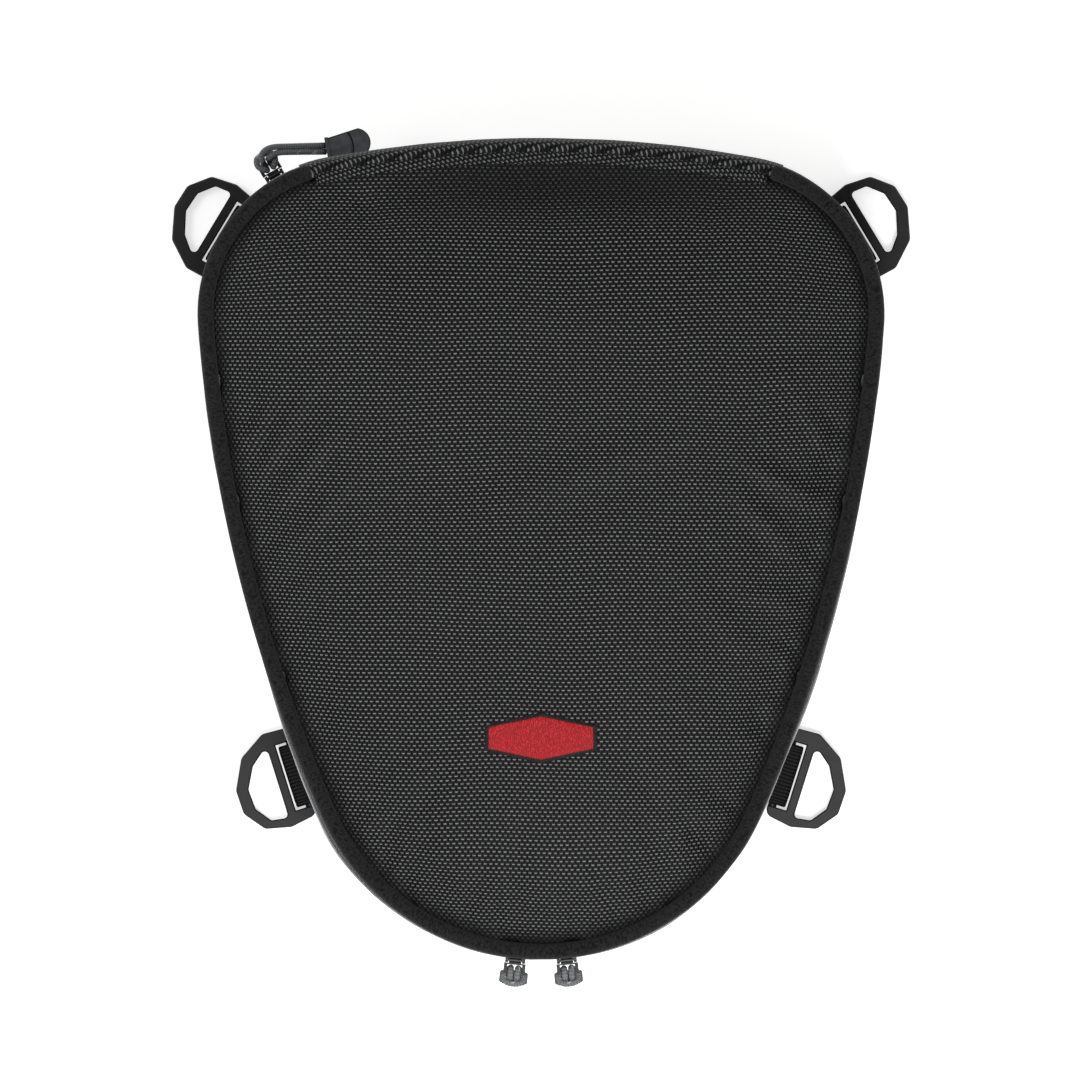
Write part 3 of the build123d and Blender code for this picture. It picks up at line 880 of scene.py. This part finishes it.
def stuff(piece, pinned_below, cap, pressure):
    """Blow the piece up a little with cloth simulation; no point moves further than cap."""
    mesh = piece.data
    before = [vert.co.copy() for vert in mesh.vertices]
    group = piece.vertex_groups.new(name="sewn")
    sewn = [vert.index for vert in mesh.vertices if vert.co.z < pinned_below]
    group.add(sewn, 1.0, "REPLACE")
    cloth = add_modifier(piece, "CLOTH")
    cloth.settings.vertex_group_mass = "sewn"
    cloth.settings.use_pressure = True
    cloth.settings.uniform_pressure_force = pressure
    cloth.settings.effector_weights.gravity = 0.0
    cloth.settings.quality = 5
    cloth.point_cache.frame_start = 1
    cloth.point_cache.frame_end = 20
    scene = bpy.context.scene
    for number in range(1, 21):
        scene.frame_set(number)
    shaped = piece.evaluated_get(bpy.context.evaluated_depsgraph_get()).to_mesh()
    after = [vert.co.copy() for vert in shaped.vertices]
    piece.evaluated_get(bpy.context.evaluated_depsgraph_get()).to_mesh_clear()
    piece.modifiers.remove(cloth)
    scene.frame_set(1)
    piece.vertex_groups.remove(group)
    for vert, old, new in zip(mesh.vertices, before, after):
        move = new - old
        if move.length > cap:
            move *= cap / move.length
        vert.co = old + move


# x, y, direction in degrees, half length, half width and height of each fold, in millimetres
LID_FOLDS = (
    (-108.0, 50.0, 66.0, 14.0, 4.0, 2.0),
    (-102.0, 40.0, 60.0, 22.0, 4.0, 2.8),
    (-92.0, 30.0, 52.0, 22.0, 4.5, 2.6),
    (-84.0, 14.0, 50.0, 16.0, 4.5, 1.6),
    (-98.0, 2.0, 30.0, 12.0, 4.0, 1.1),
    (-92.0, -16.0, 25.0, 12.0, 4.0, 1.1),
    (-86.0, -34.0, 25.0, 12.0, 4.0, 1.1),
    (-78.0, -58.0, 20.0, 12.0, 4.0, 0.9),
    (108.0, 44.0, 120.0, 14.0, 4.5, 1.8),
    (98.0, 22.0, 150.0, 20.0, 4.5, 2.9),
    (90.0, 6.0, 135.0, 18.0, 5.0, 2.2),
    (104.0, 4.0, 200.0, 12.0, 4.0, 2.0),
    (96.0, -22.0, 170.0, 14.0, 4.0, 2.2),
    (90.0, -40.0, 165.0, 14.0, 4.0, 1.2),
    (66.0, -24.0, 130.0, 30.0, 9.0, 0.5),
    (20.0, 30.0, 200.0, 40.0, 11.0, 0.9),
    (-60.0, 70.0, 100.0, 40.0, 12.0, 1.0),
)


def lid_folds(x, y):
    """Shallow diagonal folds in the lid's cloth, deeper towards the flanks."""
    x, y = x / MM, y / MM
    folds = 0.0
    for fold_x, fold_y, turn, reach, width, size in LID_FOLDS:
        dx, dy = x - fold_x, y - fold_y
        c, s = math.cos(math.radians(turn)), math.sin(math.radians(turn))
        along, across = dx * c + dy * s, dy * c - dx * s
        ridge = bump(across, 0, width) * math.cos(2.2 * across / width)
        folds += size * bump(along, 0, reach) * ridge
    folds += 0.8 * noise.noise(Vector((x / 38, y / 38, 1.3)))
    folds -= 5.5 * (max(0.0, y - 100.0) / 50.0) ** 2
    return folds * MM


def painted_seam_and_rear_shade(outline, spot):
    """Painted shade from 0 to 1: full in the crevice along the seam with the binding, up to 0.75 on
    a band along the rear edge, where the cloth is also drawn down to the hinge.
    """
    x, y, _ = spot / MM
    _, inset = outline.locate(spot.x, spot.y)
    drawn = clamp((y - 121.0) / 18.0) * (1 - min(1.0, (abs(x - 15.0) / 85.0) ** 3))
    return max(0.75 * drawn, clamp((12.0 - inset / MM) / 4.5))


def lid_cushion(outline):
    """Foam-backed lid panel, stuffed by simulation, with soft folds."""
    bm = carry(outline, lid_profile(), step=0.004, closed=False)
    fill_holes(bm)
    piece = finish_piece(
        bm, "lid_panel_cloth", "lid", MATERIALS["nylon"],
        ("lid_panel", "lid_foam"),
    )
    remesh = add_modifier(
        piece, "REMESH", mode="VOXEL", voxel_size=0.0036, use_smooth_shade=True
    )
    shaped = bpy.data.meshes.new_from_object(
        piece.evaluated_get(bpy.context.evaluated_depsgraph_get())
    )
    piece.modifiers.remove(remesh)
    piece.data = shaped
    stuff(piece, (LID_BOTTOM + 4.6) * MM, 0.0035, 4.0)
    for vert in piece.data.vertices:
        x, y, z = vert.co
        distance, inset = outline.locate(x, y)
        if z > (LID_BOTTOM + 4) * MM:
            vert.co.z += lid_folds(x, y) * clamp((inset / MM - 7) / 14)
            pucker = noise.noise(Vector((distance / MM / 5.0, 0.7, inset / MM / 30)))
            flank = 3.2 if abs(x) > 0.05 and y < 0.05 else 0.8
            vert.co.z += flank * pucker * bump(inset / MM, 14.0, 6.0) * MM
    # The seam attribute is painted shade: in the crevice along the binding, and on a band along the
    # rear edge that is darker than its slope alone makes it.
    seam = piece.data.attributes.new("seam", "FLOAT", "POINT")
    for vert, value in zip(piece.data.vertices, seam.data):
        value.value = painted_seam_and_rear_shade(outline, vert.co)
    bm = bmesh.new()
    bm.from_mesh(piece.data)
    layer = bm.loops.layers.uv.new("weave")
    for face in bm.faces:
        for loop in face.loops:
            x, y, z = loop.vert.co
            distance, inset = outline.locate(x, y)
            out = outline.place(distance)[1]
            drop = max(0.0, (LID_BOTTOM + 12) * MM - z) * 0.55
            loop[layer].uv = (x + out.x * drop, y + out.y * drop)
    bm.to_mesh(piece.data)
    bm.free()
    for polygon in piece.data.polygons:
        polygon.use_smooth = True
    subdivide(piece)
    return piece


def binding(outline):
    """Knitted roll round the lid's sides and nose."""
    right, left = joint_distances(outline)
    section = ring_profile(BINDING_R, BINDING_Z, BINDING_R, 14)
    bm = carry(outline, section, left - outline.total, right, step=0.003)
    across = round_across(BINDING_R, BINDING_Z, BINDING_R)
    lay_uv(bm, outline, across, 2 * math.pi * BINDING_R * MM)
    for vert in bm.verts:
        distance, inset = outline.locate(vert.co.x, vert.co.y)
        place = Vector((distance * 45, inset * 60, vert.co.z * 60))
        vert.co.z += 0.00025 * noise.noise(place)
    piece = finish_piece(
        bm, "binding_roll", "lid", MATERIALS["binding"], ("lid_binding",)
    )
    subdivide(piece)


def rear_roll(outline):
    """Rear edge of the lid: the same roll in nylon cut on the bias."""
    right, left = joint_distances(outline)
    section = ring_profile(ROLL_INSET, ROLL_Z, ROLL_R, 12)
    bm = carry(outline, section, right + 0.0002, left - 0.0002, step=0.003)
    across = round_across(ROLL_INSET, ROLL_Z, ROLL_R)
    lay_uv(bm, outline, across, 2 * math.pi * ROLL_R * MM)
    piece = finish_piece(
        bm, "rear_edge_roll", "lid", MATERIALS["nylon_bias"], ("lid_rear_roll",)
    )
    subdivide(piece)


def hinge_cloth(outline):
    """Cloth between the upper wall and the lid across the rear."""
    right, left = joint_distances(outline)
    low, high = UPPER_TOP, LID_BOTTOM
    outer = [
        (0.6, low - 1.5),
        (-0.2, low + 1.5),
        (-0.7, low + 4.5),
        (-0.8, low + 7.5),
        (-0.4, low + 10.5),
        (0.6, high + 1.6),
        (2.0, high + 3.2),
        (3.8, high + 4.0),
        (5.6, high + 3.6),
    ]
    profile = outer + [(5.6, high + 2.4), (3.8, high + 2.8), (2.4, high + 2.1)]
    profile += [(1.6, high + 1.0), (0.7, low + 10.2), (0.4, low + 7.5), (0.5, low + 4.5)]
    profile += [(1.0, low + 1.5), (1.8, low - 1.5)]
    bm = carry(outline, profile, right - 0.004, left + 0.004)
    lay_uv(bm, outline, lambda inset, z: z)
    push_out(bm, outline, lambda distance, inset, z: creases(distance + 7, z, 0.0004))
    piece = finish_piece(
        bm, "rear_hinge_cloth", None, MATERIALS["nylon_bias"],
        ("rear_hinge_panel",),
    )
    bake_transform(piece)


def emblem(outline, lid):
    """Embroidered patch on the nose of the lid: a long hexagon with a corded edge."""
    low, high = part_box("badge")
    centre = Vector(((low[0] + high[0]) / 2, (low[1] + high[1]) / 2, 0))
    surface = BVHTree.FromObject(lid, bpy.context.evaluated_depsgraph_get())

    def lie_on_lid(bm, lift):
        for vert in bm.verts:
            hit = surface.ray_cast(Vector((vert.co.x, vert.co.y, 0.2)), Vector((0, 0, -1)))[0]
            vert.co.z += hit.z + lift

    for name, size, thick, material, replaced in (
        ("emblem_patch", (0.0236, 0.0074), 0.0007, "emblem", ("badge",)),
        ("emblem_edging", (0.0254, 0.0087), 0.0004, "edging", ()),
    ):
        bm = bmesh.new()
        bmesh.ops.create_circle(bm, cap_ends=True, radius=1.0, segments=6)
        bmesh.ops.scale(bm, vec=(size[0], size[1] / math.sin(math.radians(60)), 1), verts=bm.verts)
        bmesh.ops.translate(bm, vec=centre, verts=bm.verts)
        grown = bmesh.ops.extrude_face_region(bm, geom=list(bm.faces))
        top = only(grown["geom"], bmesh.types.BMVert)
        bmesh.ops.translate(bm, vec=(0, 0, thick), verts=top)
        upper = [edge for edge in bm.edges if all(v.co.z > thick * 0.9 for v in edge.verts)]
        bmesh.ops.bevel(
            bm, geom=upper, offset=0.0006, segments=3, profile=0.5, affect="EDGES", material=-1
        )
        bmesh.ops.triangulate(bm, faces=[face for face in bm.faces if len(face.verts) > 4])
        long_edges = [edge for edge in bm.edges if edge.calc_length() > 0.004]
        bmesh.ops.subdivide_edges(bm, edges=long_edges, cuts=5, use_grid_fill=True)
        lie_on_lid(bm, -0.0001)
        finish_piece(bm, name, "lid", MATERIALS[material], replaced)


# ------------------------------------------------------------------ zips
def zip_row(outline, label, body, inset, chain_z, edge_z, first, last, replaced):
    """Tape and coil of one side of a zip."""
    side = 1 if edge_z > chain_z else -1
    profile = [(inset - 0.4, edge_z + side * 0.3), (inset - 0.4, chain_z + side * 1.2)]
    profile += [(inset + 0.4, chain_z + side * 1.2), (inset + 0.4, edge_z + side * 0.3)]
    bm = carry(outline, profile, first, last, step=0.005)
    lay_uv(bm, outline, lambda at_inset, z: z)
    finish_piece(
        bm, f"{label}_tape", body, MATERIALS["tape"], replaced[:1], smooth=False
    )
    pitch = bpy.context.scene.tank_bag.sizes.tooth_pitch
    last = outline.total if last is None else last
    first += pitch / 2 if side > 0 else 0.0
    spot, out = outline.place(first, inset * MM)
    turn = Matrix.Rotation(math.atan2(out.y, out.x), 4, "Z")
    place = Matrix.Translation((spot.x, spot.y, (chain_z + side * 1.15) * MM)) @ turn
    shape = Matrix.Diagonal((0.00125, 0.00062, 0.0016, 1))
    bm = bmesh.new()
    made = bmesh.ops.create_uvsphere(
        bm, u_segments=6, v_segments=4, radius=1.0, matrix=place @ shape
    )
    tooth = made["verts"] + list(bm.edges) + list(bm.faces)
    for centre, radius, angle in outline.spans(first, last):
        steps = max(1, round(radius * angle / pitch))
        spun = bmesh.ops.spin(
            bm, geom=tooth, cent=(centre.x, centre.y, 0), axis=(0, 0, 1), angle=angle,
            steps=steps, use_duplicate=True,
        )
        tooth = spun["geom_last"]
    finish_piece(bm, f"{label}_coil", body, MATERIALS["coil"], replaced[1:])


def gusset(outline):
    """Folded cloth of the expansion gusset."""
    low, high = LOWER_TOP, UPPER_BOTTOM
    folds = 8
    front = []
    for k in range(folds + 1):
        inset = 5.9 if k in (0, folds) else 6.4 if k % 2 else 7.6
        front.append((inset, low + 0.2 + (high - low - 0.4) * k / folds))
    profile = front + [(inset + 0.5, z) for inset, z in reversed(front)]
    bm = carry(outline, profile, step=0.006)
    lay_uv(bm, outline, lambda inset, z: z)
    piece = finish_piece(
        bm, "gusset_cloth", None, MATERIALS["lining"], ("expansion_gusset",)
    )
    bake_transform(piece)


# ------------------------------------------------------------------ webbing, cords
WEBBING_WIDTH = 0.025


def webbing_tab(outline, name):
    """Webbing folded round the ring's bar and sewn into the base seam."""
    bar = Vector(joint(f"d_ring_{name}_swing")["pos_m"])
    along = Vector(joint(f"d_ring_{name}_swing")["axis"])
    out = along.cross(Vector((0, 0, 1)))
    out *= math.copysign(1, out.dot(bar))
    loop = 0.00245
    sewn = outline.locate(bar.x, bar.y)[1] - 0.0125
    path = [(sewn, 0.0003), (sewn * 0.7, 0.0012), (sewn * 0.45, 0.0022)]
    for k in range(9):
        turn = math.radians(90 - 22.5 * k)
        path.append((2.0 * loop * math.cos(turn), loop * math.sin(turn)))
    path += [(sewn * 0.45, -0.0022), (sewn * 0.7, -0.0016), (sewn, -0.0009)]
    bm = bmesh.new()
    verts = []
    for v, w in path:
        spot = bar + out * v - along * WEBBING_WIDTH / 2
        verts.append(bm.verts.new((spot.x, spot.y, bar.z + w)))
    edges = [bm.edges.new(pair) for pair in zip(verts, verts[1:])]
    steps = 5
    for _ in range(steps):
        grown = bmesh.ops.extrude_edge_only(bm, edges=edges)["geom"]
        fresh = only(grown, bmesh.types.BMVert)
        edges = [
            edge for edge in only(grown, bmesh.types.BMEdge) if all(v in fresh for v in edge.verts)
        ]
        bmesh.ops.translate(bm, vec=along * WEBBING_WIDTH / steps, verts=fresh)
    layer = bm.loops.layers.uv.new("weave")
    for face in bm.faces:
        for item in face.loops:
            offset = item.vert.co - bar
            item[layer].uv = (offset.dot(out) + item.vert.co.z, offset.dot(along))
    piece = finish_piece(
        bm, f"webbing_loop_{name}", "lower_bag", MATERIALS["webbing"],
        (f"webbing_tab_{name}",),
    )
    add_modifier(piece, "SOLIDIFY", thickness=0.0009, offset=0.0)
    subdivide(piece)


# Cord routes from the puller's bar, in millimetres: sideways, outwards and up. Each half starts
# in the bight over the bar, goes round it and runs to the grip.
HANGING_HALF = [
    (2.5, 4.3, -0.9),
    (3.75, 2.5, -1.9),
    (3.7, 0.4, -2.2),
    (1.6, -1.85, -2.1),
    (1.25, -1.85, 2.1),
    (1.25, 1.85, 2.1),
    (1.25, 1.85, -5.5),
    (1.4, 2.3, -16.0),
    (1.25, 1.85, -29.0),
]
LAID_HITCH_HALF = [
    (2.5, 4.3, 0.9),
    (3.75, 2.5, 1.9),
    (3.7, 0.4, 2.2),
    (1.6, -1.85, 2.1),
    (1.25, -1.85, -2.1),
    (1.25, 1.85, -2.1),
]
LAID_OUTER = [
    (1.25, 1.85, 3.9),
    (0.4, 4.9, 5.2),
    (-3.9, 5.6, 5.0),
    (-11.0, 1.7, 3.3),
    (-23.2, -4.9, 0.0),
]
LAID_INNER = [(-1.25, 1.85, 4.4), (-4.8, 2.6, 4.9), (-11.5, -1.0, 3.2), (-22.0, -7.0, 0.0)]
# the bar's distance outside the coil
BAR_OUT = 9.0


def other_side(points):
    return [(-t, v, w) for t, v, w in points]


HANGING_ROUTE = other_side(HANGING_HALF)[::-1] + HANGING_HALF
LAID_ROUTE = (
    LAID_INNER[::-1] + other_side(LAID_HITCH_HALF)[::-1] + LAID_HITCH_HALF + LAID_OUTER
)


def pull_cord(name, centre, radius, azimuth, z, route, diameter):
    """Braided cord: a loop hitched to the puller's bar, both ends in the grip."""
    out = Vector((math.cos(math.radians(azimuth)), math.sin(math.radians(azimuth)), 0))
    side = Vector((-out.y, out.x, 0))
    start = Vector((centre.x, centre.y, z))
    points = []
    for t, v, w in route:
        reach = radius + (BAR_OUT + v) * MM
        points.append(start + out * reach + side * t * MM + Vector((0, 0, w * MM)))
    data = bpy.data.curves.new(f"{name}_route", "CURVE")
    data.dimensions = "3D"
    spline = data.splines.new("NURBS")
    spline.points.add(len(points) - 1)
    for point, spot in zip(spline.points, points):
        point.co = (*spot, 1)
    spline.order_u = 3
    spline.use_endpoint_u = True
    spline.resolution_u = 8
    guide = bpy.data.objects.new(f"{name}_route", data)
    bpy.context.scene.collection.objects.link(guide)
    line = bpy.data.meshes.new_from_object(guide)
    path = [vert.co.copy() for vert in line.vertices]
    bpy.data.objects.remove(guide)
    bpy.data.meshes.remove(line)

    bm = bmesh.new()
    layer = bm.loops.layers.uv.new("weave")
    heading = (path[1] - path[0]).normalized()
    turn = heading.to_track_quat("Z", "Y").to_matrix().to_4x4()
    here = Matrix.Translation(path[0]) @ turn
    bmesh.ops.create_circle(bm, segments=12, radius=diameter / 2, matrix=here)
    edges = list(bm.edges)
    first_rim = list(edges)
    run = 0.0
    for index in range(1, len(path)):
        if index < len(path) - 1:
            ahead = (path[index + 1] - path[index - 1]).normalized()
        else:
            ahead = (path[index] - path[index - 1]).normalized()
        swing = heading.rotation_difference(ahead).to_matrix().to_4x4()
        there = Matrix.Translation(path[index]) @ swing
        there = there @ Matrix.Translation(-path[index - 1]) @ here
        grown = bmesh.ops.extrude_edge_only(bm, edges=edges)["geom"]
        fresh = only(grown, bmesh.types.BMVert)
        bmesh.ops.transform(bm, matrix=there @ here.inverted(), verts=fresh)
        edges = [
            edge for edge in only(grown, bmesh.types.BMEdge) if all(v in fresh for v in edge.verts)
        ]
        next_run = run + (path[index] - path[index - 1]).length
        back, forth = here.inverted(), there.inverted()
        for face in only(grown, bmesh.types.BMFace):
            first = None
            for item in face.loops:
                is_new = item.vert in fresh
                local = (forth if is_new else back) @ item.vert.co
                around = math.atan2(local.y, local.x) / math.tau
                if first is None:
                    first = around
                around -= round(around - first)
                item[layer].uv = (around, next_run if is_new else run)
        here, heading, run = there, ahead, next_run
    bmesh.ops.edgeloop_fill(bm, edges=first_rim)
    bmesh.ops.edgeloop_fill(bm, edges=edges)
    piece = finish_piece(
        bm, f"{name}_cord", f"{name}_pull", MATERIALS["cord"],
        (f"{name}_pull_cord",),
    )
    grip = frame["nodes"][f"{name}_pull_grip"]
    low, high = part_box(f"{name}_pull_grip")
    mouth = (path[0] + path[-1]) / 2
    middle = (low + high) / 2
    along = (path[-1] - path[-6]).normalized()
    facing = along.cross(path[0] - path[-1]).normalized()
    grip.data.materials.clear()
    grip.data.materials.append(
        moulded_rubber(
            f"moulded_rubber_{name}", bpy.context.scene.tank_bag.colours, facing,
            mouth + facing * (middle - mouth).dot(facing), middle + along * 0.0035,
        )
    )


# ------------------------------------------------------------------ operators
FRAME_WIDTH = 0.419
CAMERA_PLACE = (-0.0004, 0.0023, 2.0)


class BagOperator:
    bl_options = {"REGISTER", "UNDO"}


class TANKBAG_OT_stage(BagOperator, bpy.types.Operator):
    """Floor, lights and camera"""

    bl_idname = "tankbag.stage"
    bl_label = "Stage"

    def execute(self, context):
        scene = context.scene
        bm = bmesh.new()
        bmesh.ops.create_grid(bm, x_segments=1, y_segments=1, size=20.0)
        mesh = bpy.data.meshes.new("floor")
        bm.to_mesh(mesh)
        bm.free()
        floor = bpy.data.objects.new("floor", mesh)
        scene.collection.objects.link(floor)
        floor.location.z = -0.0002
        material, tree, shader = new_material(
            "backlit_white_acrylic", Roughness=0.9, Emission_Strength=0.6
        )
        grain = speckle(tree, object_coordinates(tree), 0.002, 2.0)
        paint(tree, shader, grain, linear("#F4F4F3"), linear("#FCFCFB"))
        shader.inputs["Emission Color"].default_value = linear("#FFFFFF")
        mesh.materials.append(material)

        world = scene.world or bpy.data.worlds.new("studio")
        scene.world = world
        world.use_nodes = True
        background = world.node_tree.nodes["Background"]
        background.inputs["Color"].default_value = (1, 1, 1, 1)
        background.inputs["Strength"].default_value = 0.4
        scene.view_settings.view_transform = "Standard"
        for name, place, size, power in (
            ("overhead", (0.12, -0.55, 1.25), 0.45, 13.2),
            ("rear_left", (-0.7, 0.3, 1.0), 0.4, 3.0),
        ):
            data = bpy.data.lights.new(name, "AREA")
            data.size = size
            data.energy = power
            lamp = bpy.data.objects.new(name, data)
            lamp.location = place
            aim = Vector((0, 0, 0.06)) - Vector(place)
            lamp.rotation_euler = aim.to_track_quat("-Z", "Y").to_euler()
            scene.collection.objects.link(lamp)

        data = bpy.data.cameras.new("camera")
        data.type = "ORTHO"
        data.ortho_scale = FRAME_WIDTH
        data.clip_end = 10.0
        camera = bpy.data.objects.new("camera", data)
        camera.location = CAMERA_PLACE
        scene.collection.objects.link(camera)
        scene.camera = camera
        return {"FINISHED"}


class TANKBAG_OT_materials(BagOperator, bpy.types.Operator):
    """Cloths, plastics, metal and rubber, and the finishes of the moulded pieces"""

    bl_idname = "tankbag.materials"
    bl_label = "Materials"

    def execute(self, context):
        make_materials(context.scene.tank_bag)
        finishes = {
            "d_ring": "acetal",
            "slider": "enamel",
            "puller_tab": "enamel",
            "base_panel": "rubber",
            "end_tab": "tape",
        }
        for node, piece in frame["nodes"].items():
            for word, material in finishes.items():
                if word in node:
                    piece.data.materials.clear()
                    piece.data.materials.append(MATERIALS[material])
        return {"FINISHED"}


class TANKBAG_OT_walls(BagOperator, bpy.types.Operator):
    """Padded walls, reflective strip, linings and floor"""

    bl_idname = "tankbag.walls"
    bl_label = "Walls"

    def execute(self, context):
        outline = outline_now()
        amount = upper_wall(outline)
        band_on_wall(outline, amount)
        lower_wall(outline)
        wall_lining(
            outline, "upper_lining", "upper_bag", ("upper_wall_lining",), 6.6, 6.6,
            UPPER_BOTTOM, UPPER_TOP,
        )
        wall_lining(
            outline, "lower_lining", "lower_bag", ("lower_wall_lining",), 14.6, 7.1,
            WALL_BOTTOM, LOWER_TOP,
        )
        floor = [(50, WALL_BOTTOM + 0.4), (20, WALL_BOTTOM + 0.2), (10.2, WALL_BOTTOM - 0.4)]
        floor += [(10.2, BASE_TOP + 0.1), (50, BASE_TOP + 0.1)]
        disc(
            outline, floor, "floor_lining", "lower_bag", MATERIALS["lining"],
            ("base_board",),
        )
        piping = carry(outline, ring_profile(9.0, WALL_BOTTOM, 1.5, 10), step=0.004)
        lay_uv(piping, outline, lambda inset, z: z)
        finish_piece(piping, "base_piping", "lower_bag", MATERIALS["binding"])
        return {"FINISHED"}


class TANKBAG_OT_lid(BagOperator, bpy.types.Operator):
    """Stuffed lid, binding, rear roll, hinge cloth, lining and emblem"""

    bl_idname = "tankbag.lid"
    bl_label = "Lid"

    def execute(self, context):
        outline = outline_now()
        lid = lid_cushion(outline)
        binding(outline)
        rear_roll(outline)
        hinge_cloth(outline)
        low, high = LID_BOTTOM, LID_BOTTOM + 0.8
        profile = [(50, high), (1.8, high), (1.5, (low + high) / 2), (1.8, low), (50, low)]
        disc(
            outline, profile, "lid_underside", "lid", MATERIALS["lining"],
            ("lid_lining",),
        )
        emblem(outline, lid)
        return {"FINISHED"}


class TANKBAG_OT_zips(BagOperator, bpy.types.Operator):
    """Tapes and coils of both zips and the folded gusset"""

    bl_idname = "tankbag.zips"
    bl_label = "Zips"

    def execute(self, context):
        outline = outline_now()
        right, left = joint_distances(outline)
        for side, body, edge in (
            ("lower", "lower_bag", LOWER_TOP),
            ("upper", "upper_bag", UPPER_BOTTOM),
        ):
            zip_row(
                outline, f"expansion_{side}", body, EXPANSION_INSET, EXPANSION_Z, edge, 0.0, None,
                (f"expansion_zip_tape_{side}", f"expansion_zip_coil_{side}"),
            )
        for side, body, edge in (("lower", "upper_bag", UPPER_TOP), ("upper", "lid", LID_BOTTOM)):
            zip_row(
                outline, f"main_{side}", body, MAIN_INSET, MAIN_Z, edge, left - outline.total,
                right, (f"main_zip_tape_{side}", f"main_zip_coil_{side}"),
            )
        gusset(outline)
        return {"FINISHED"}


class TANKBAG_OT_webbing(BagOperator, bpy.types.Operator):
    """Webbing loops that hold the D-rings"""

    bl_idname = "tankbag.webbing"
    bl_label = "Webbing"

    def execute(self, context):
        outline = outline_now()
        for name in ("rear_right", "rear_left", "front_right", "front_left"):
            webbing_tab(outline, name)
        return {"FINISHED"}


class TANKBAG_OT_pulls(BagOperator, bpy.types.Operator):
    """Braided cords of the three zip pulls"""

    bl_idname = "tankbag.pulls"
    bl_label = "Pulls"

    def execute(self, context):
        outline = outline_now()
        diameter = context.scene.tank_bag.sizes.cord_diameter
        nose, nose_radius = outline.arcs[0][:2]
        shoulder, shoulder_radius = outline.arcs[5][:2]
        radius = nose_radius - MAIN_INSET * MM
        for name, azimuth in (("main_left", -96.1), ("main_right", -83.9)):
            pull_cord(name, nose, radius, azimuth, MAIN_Z * MM, HANGING_ROUTE, diameter)
        radius = shoulder_radius - EXPANSION_INSET * MM
        pull_cord(
            "expansion", shoulder, radius, 120.0, EXPANSION_Z * MM, LAID_ROUTE, diameter
        )
        return {"FINISHED"}


class BagSettings(bpy.types.PropertyGroup):
    sizes: PointerProperty(type=BagSizes)
    colours: PointerProperty(type=BagColours)


OPERATORS = (
    TANKBAG_OT_stage,
    TANKBAG_OT_materials,
    TANKBAG_OT_pulls,
    TANKBAG_OT_walls,
    TANKBAG_OT_lid,
    TANKBAG_OT_zips,
    TANKBAG_OT_webbing,
)


class TANKBAG_PT_panel(bpy.types.Panel):
    """Lists the bag's operators and settings"""

    bl_idname = "TANKBAG_PT_panel"
    bl_label = "Tank bag"
    bl_space_type = "VIEW_3D"
    bl_region_type = "UI"
    bl_category = "Tank bag"

    def draw(self, context):
        settings = context.scene.tank_bag
        for operator in OPERATORS:
            self.layout.operator(operator.bl_idname)
        for group in (settings.sizes, settings.colours):
            for name in group.__annotations__:
                self.layout.prop(group, name)


CLASSES = (BagSizes, BagColours, BagSettings, *OPERATORS, TANKBAG_PT_panel)


def register():
    for item in CLASSES:
        bpy.utils.register_class(item)
    bpy.types.Scene.tank_bag = PointerProperty(type=BagSettings)


def unregister():
    del bpy.types.Scene.tank_bag
    for item in reversed(CLASSES):
        bpy.utils.unregister_class(item)


def main():
    register()
    for operator in OPERATORS:
        group, name = operator.bl_idname.split(".")
        getattr(getattr(bpy.ops, group), name)()


if __name__ == "__main__":
    main()
